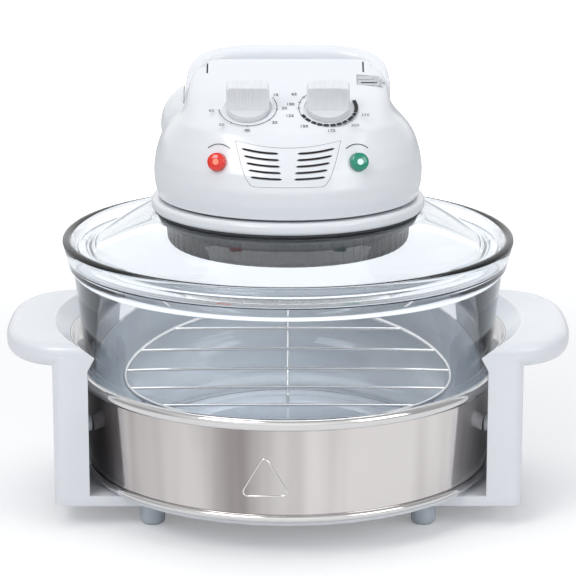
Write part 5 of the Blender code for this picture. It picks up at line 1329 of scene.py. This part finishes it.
@dataclass
class Studio:
    """Camera, lights, floor and surroundings."""

    distance: float = 2.0
    elevation: float = math.radians(14.43)
    target: Point3 = (0.0, 0.0, 0.158)
    lens: float = 169.0
    floor_glow: float = 0.20
    haze: tuple[float, float] = (0.45, 1.5)
    ambient: Color = (0.41, 0.42, 0.44)
    lamps: tuple[tuple[str, Point3, float, float], ...] = (
        ("key", (-1.1, -1.5, 1.9), 1.1, 18.0),
        ("fill", (1.5, -1.2, 1.0), 1.0, 7.0),
        ("top", (0.0, 0.1, 2.0), 1.6, 13.0))
    walls: tuple[tuple[float, float], ...] = (
        (0.0, 0.42), (0.04, 0.44), (0.09, 0.70), (0.25, 0.92), (0.45, 1.0),
        (0.60, 1.0), (0.75, 0.82), (0.87, 0.60), (0.91, 0.42), (1.0, 0.42))
    ceiling: tuple[float, float, float] = (0.55, 0.92, 0.42)

    def build(self) -> None:
        """Set the whole studio up."""
        self.camera()
        self.floor()
        self.lights()
        self.world()
        bpy.context.scene.view_settings.view_transform = "Standard"

    def camera(self) -> None:
        """Camera at the photo's place and angle."""
        data = bpy.data.cameras.new("camera")
        data.lens = self.lens
        data.sensor_width = 36.0
        data.clip_start = 0.05
        data.clip_end = 50.0
        item = bpy.data.objects.new("camera", data)
        bpy.context.scene.collection.objects.link(item)
        aim = Vector(self.target)
        back = Vector((0.0, -math.cos(self.elevation), math.sin(self.elevation)))
        item.location = aim + back * self.distance
        item.rotation_euler = (-back).to_track_quat("-Z", "Y").to_euler()
        bpy.context.scene.camera = item

    def backdrop_rays(self, tree: bpy.types.NodeTree) -> bpy.types.NodeSocket:
        """Light path value that is 1 for rays that should see the white backdrop.

        Args:
            tree: Node tree to add the nodes to.

        Returns:
            The output socket with the value.
        """
        path = tree.nodes.new("ShaderNodeLightPath")
        total = tree.nodes.new("ShaderNodeMath")
        total.operation = "MAXIMUM"
        tree.links.new(path.outputs["Is Camera Ray"], total.inputs[0])
        tree.links.new(path.outputs["Is Transmission Ray"], total.inputs[1])
        return total.outputs["Value"]

    def floor(self) -> None:
        """A wide pale floor that keeps the oven's shadow."""
        mesh = bpy.data.meshes.new("floor")
        reach = 30.0
        corners = [(-reach, -reach, 0), (reach, -reach, 0), (reach, reach, 0), (-reach, reach, 0)]
        mesh.from_pydata(corners, [], [(0, 1, 2, 3)])
        item = bpy.data.objects.new("floor", mesh)
        bpy.context.scene.collection.objects.link(item)
        material = bpy.data.materials.new("floor_white")
        material.use_nodes = True
        tree = material.node_tree
        shader = tree.nodes["Principled BSDF"]
        shader.inputs["Base Color"].default_value = (0.90, 0.90, 0.90, 1.0)
        shader.inputs["Roughness"].default_value = 0.9
        shader.inputs["Specular IOR Level"].default_value = 0.1
        shader.inputs["Emission Color"].default_value = (1.0, 1.0, 1.0, 1.0)
        coords = tree.nodes.new("ShaderNodeTexCoord")
        distance = tree.nodes.new("ShaderNodeVectorMath")
        distance.operation = "LENGTH"
        tree.links.new(coords.outputs["Object"], distance.inputs[0])
        whiten = tree.nodes.new("ShaderNodeMapRange")
        whiten.interpolation_type = "SMOOTHSTEP"
        whiten.inputs["From Min"].default_value = self.haze[0]
        whiten.inputs["From Max"].default_value = self.haze[1]
        whiten.inputs["To Min"].default_value = self.floor_glow
        whiten.inputs["To Max"].default_value = 1.0
        tree.links.new(distance.outputs["Value"], whiten.inputs["Value"])
        glow = tree.nodes.new("ShaderNodeMath")
        glow.operation = "MULTIPLY"
        tree.links.new(whiten.outputs["Result"], glow.inputs[1])
        tree.links.new(self.backdrop_rays(tree), glow.inputs[0])
        tree.links.new(glow.outputs["Value"], shader.inputs["Emission Strength"])
        mesh.materials.append(material)
        item.location.z = -0.0002

    def lights(self) -> None:
        """Soft boxes: a key from the upper left, a fill from the right and a top light."""
        for name, place, size, power in self.lamps:
            data = bpy.data.lights.new(name, "AREA")
            data.energy = power
            data.size = size
            item = bpy.data.objects.new(name, data)
            bpy.context.scene.collection.objects.link(item)
            item.location = place
            item.visible_glossy = name != "top"
            aim = Vector((0.0, 0.0, 0.15)) - Vector(place)
            item.rotation_euler = aim.to_track_quat("-Z", "Y").to_euler()

    def world(self) -> None:
        """Plain soft light, a white backdrop, and a studio with dark side walls for reflections."""
        world = bpy.data.worlds.new("studio")
        bpy.context.scene.world = world
        world.use_nodes = True
        tree = world.node_tree
        background = tree.nodes["Background"]
        background.inputs["Strength"].default_value = 1.0
        coords = tree.nodes.new("ShaderNodeTexCoord")
        split = tree.nodes.new("ShaderNodeSeparateXYZ")
        tree.links.new(coords.outputs["Generated"], split.inputs["Vector"])
        shift = tree.nodes.new("ShaderNodeMapRange")
        shift.inputs["From Min"].default_value = -1.0
        shift.inputs["From Max"].default_value = 1.0
        tree.links.new(split.outputs["X"], shift.inputs["Value"])
        walls = tree.nodes.new("ShaderNodeValToRGB")
        tree.links.new(shift.outputs["Result"], walls.inputs["Fac"])
        stops = walls.color_ramp.elements
        for stop, (place, value) in zip((stops[0], stops[1]), (self.walls[0], self.walls[-1])):
            stop.position = place
            stop.color = (value, value, value, 1.0)
        for place, value in self.walls[1:-1]:
            stops.new(place).color = (value, value, value, 1.0)
        ceiling = tree.nodes.new("ShaderNodeMapRange")
        ceiling.inputs["From Min"].default_value = self.ceiling[0]
        ceiling.inputs["From Max"].default_value = self.ceiling[1]
        ceiling.inputs["To Min"].default_value = 1.0
        ceiling.inputs["To Max"].default_value = self.ceiling[2]
        tree.links.new(split.outputs["Z"], ceiling.inputs["Value"])
        room = tree.nodes.new("ShaderNodeVectorMath")
        room.operation = "SCALE"
        tree.links.new(walls.outputs["Color"], room.inputs[0])
        tree.links.new(ceiling.outputs["Result"], room.inputs["Scale"])
        path = tree.nodes.new("ShaderNodeLightPath")
        seen = tree.nodes.new("ShaderNodeMix")
        seen.data_type = "RGBA"
        seen.inputs["A"].default_value = (*self.ambient, 1.0)
        tree.links.new(room.outputs["Vector"], seen.inputs["B"])
        tree.links.new(path.outputs["Is Glossy Ray"], seen.inputs["Factor"])
        white = tree.nodes.new("ShaderNodeMix")
        white.data_type = "RGBA"
        white.inputs["B"].default_value = (1.0, 1.0, 1.0, 1.0)
        tree.links.new(seen.outputs["Result"], white.inputs["A"])
        tree.links.new(self.backdrop_rays(tree), white.inputs["Factor"])
        tree.links.new(white.outputs["Result"], background.inputs["Color"])


CARRIED: dict[str, Finishes] = {
    "base_pan": Finishes.HOUSING, "lid_gasket": Finishes.SILICONE, "cord_gland": Finishes.BLACK,
    "pivot_pin_left": Finishes.TRIM, "pivot_pin_right": Finishes.TRIM, "safety_microswitch": Finishes.BLACK,
    "timer_unit": Finishes.BLACK, "thermostat_unit": Finishes.BLACK, "terminal_block": Finishes.CERAMIC,
    "motor_bracket": Finishes.TRIM, "fan_motor": Finishes.DARK, "reflector": Finishes.TRIM,
    "halogen_tube": Finishes.QUARTZ, "tube_holder_left": Finishes.CERAMIC, "tube_holder_right": Finishes.CERAMIC,
    "element_guard": Finishes.TRIM, "sensor_bulb": Finishes.CAST, "timer_spindle": Finishes.CAST,
    "thermostat_spindle": Finishes.CAST, "safety_plunger": Finishes.SATIN, "motor_shaft": Finishes.TRIM,
    "convection_fan": Finishes.CAST, "cooling_fan": Finishes.CAST,
}


def main() -> None:
    logging.basicConfig(level=logging.INFO, format="%(message)s")
    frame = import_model()
    shop = Workshop()
    for name, finish in CARRIED.items():
        shop.dress(frame["nodes"][name], finish)
    BaseLook(shop).build()
    BowlLook(shop).build()
    LidLook(shop).build()
    HeadLook(shop).build()
    PanelPrint(shop).build()
    KnobLook(shop).build()
    BailLook(shop).build()
    Studio().build()
    LOG.info("%d visual pieces", shop.count)


if __name__ == "__main__":
    main()
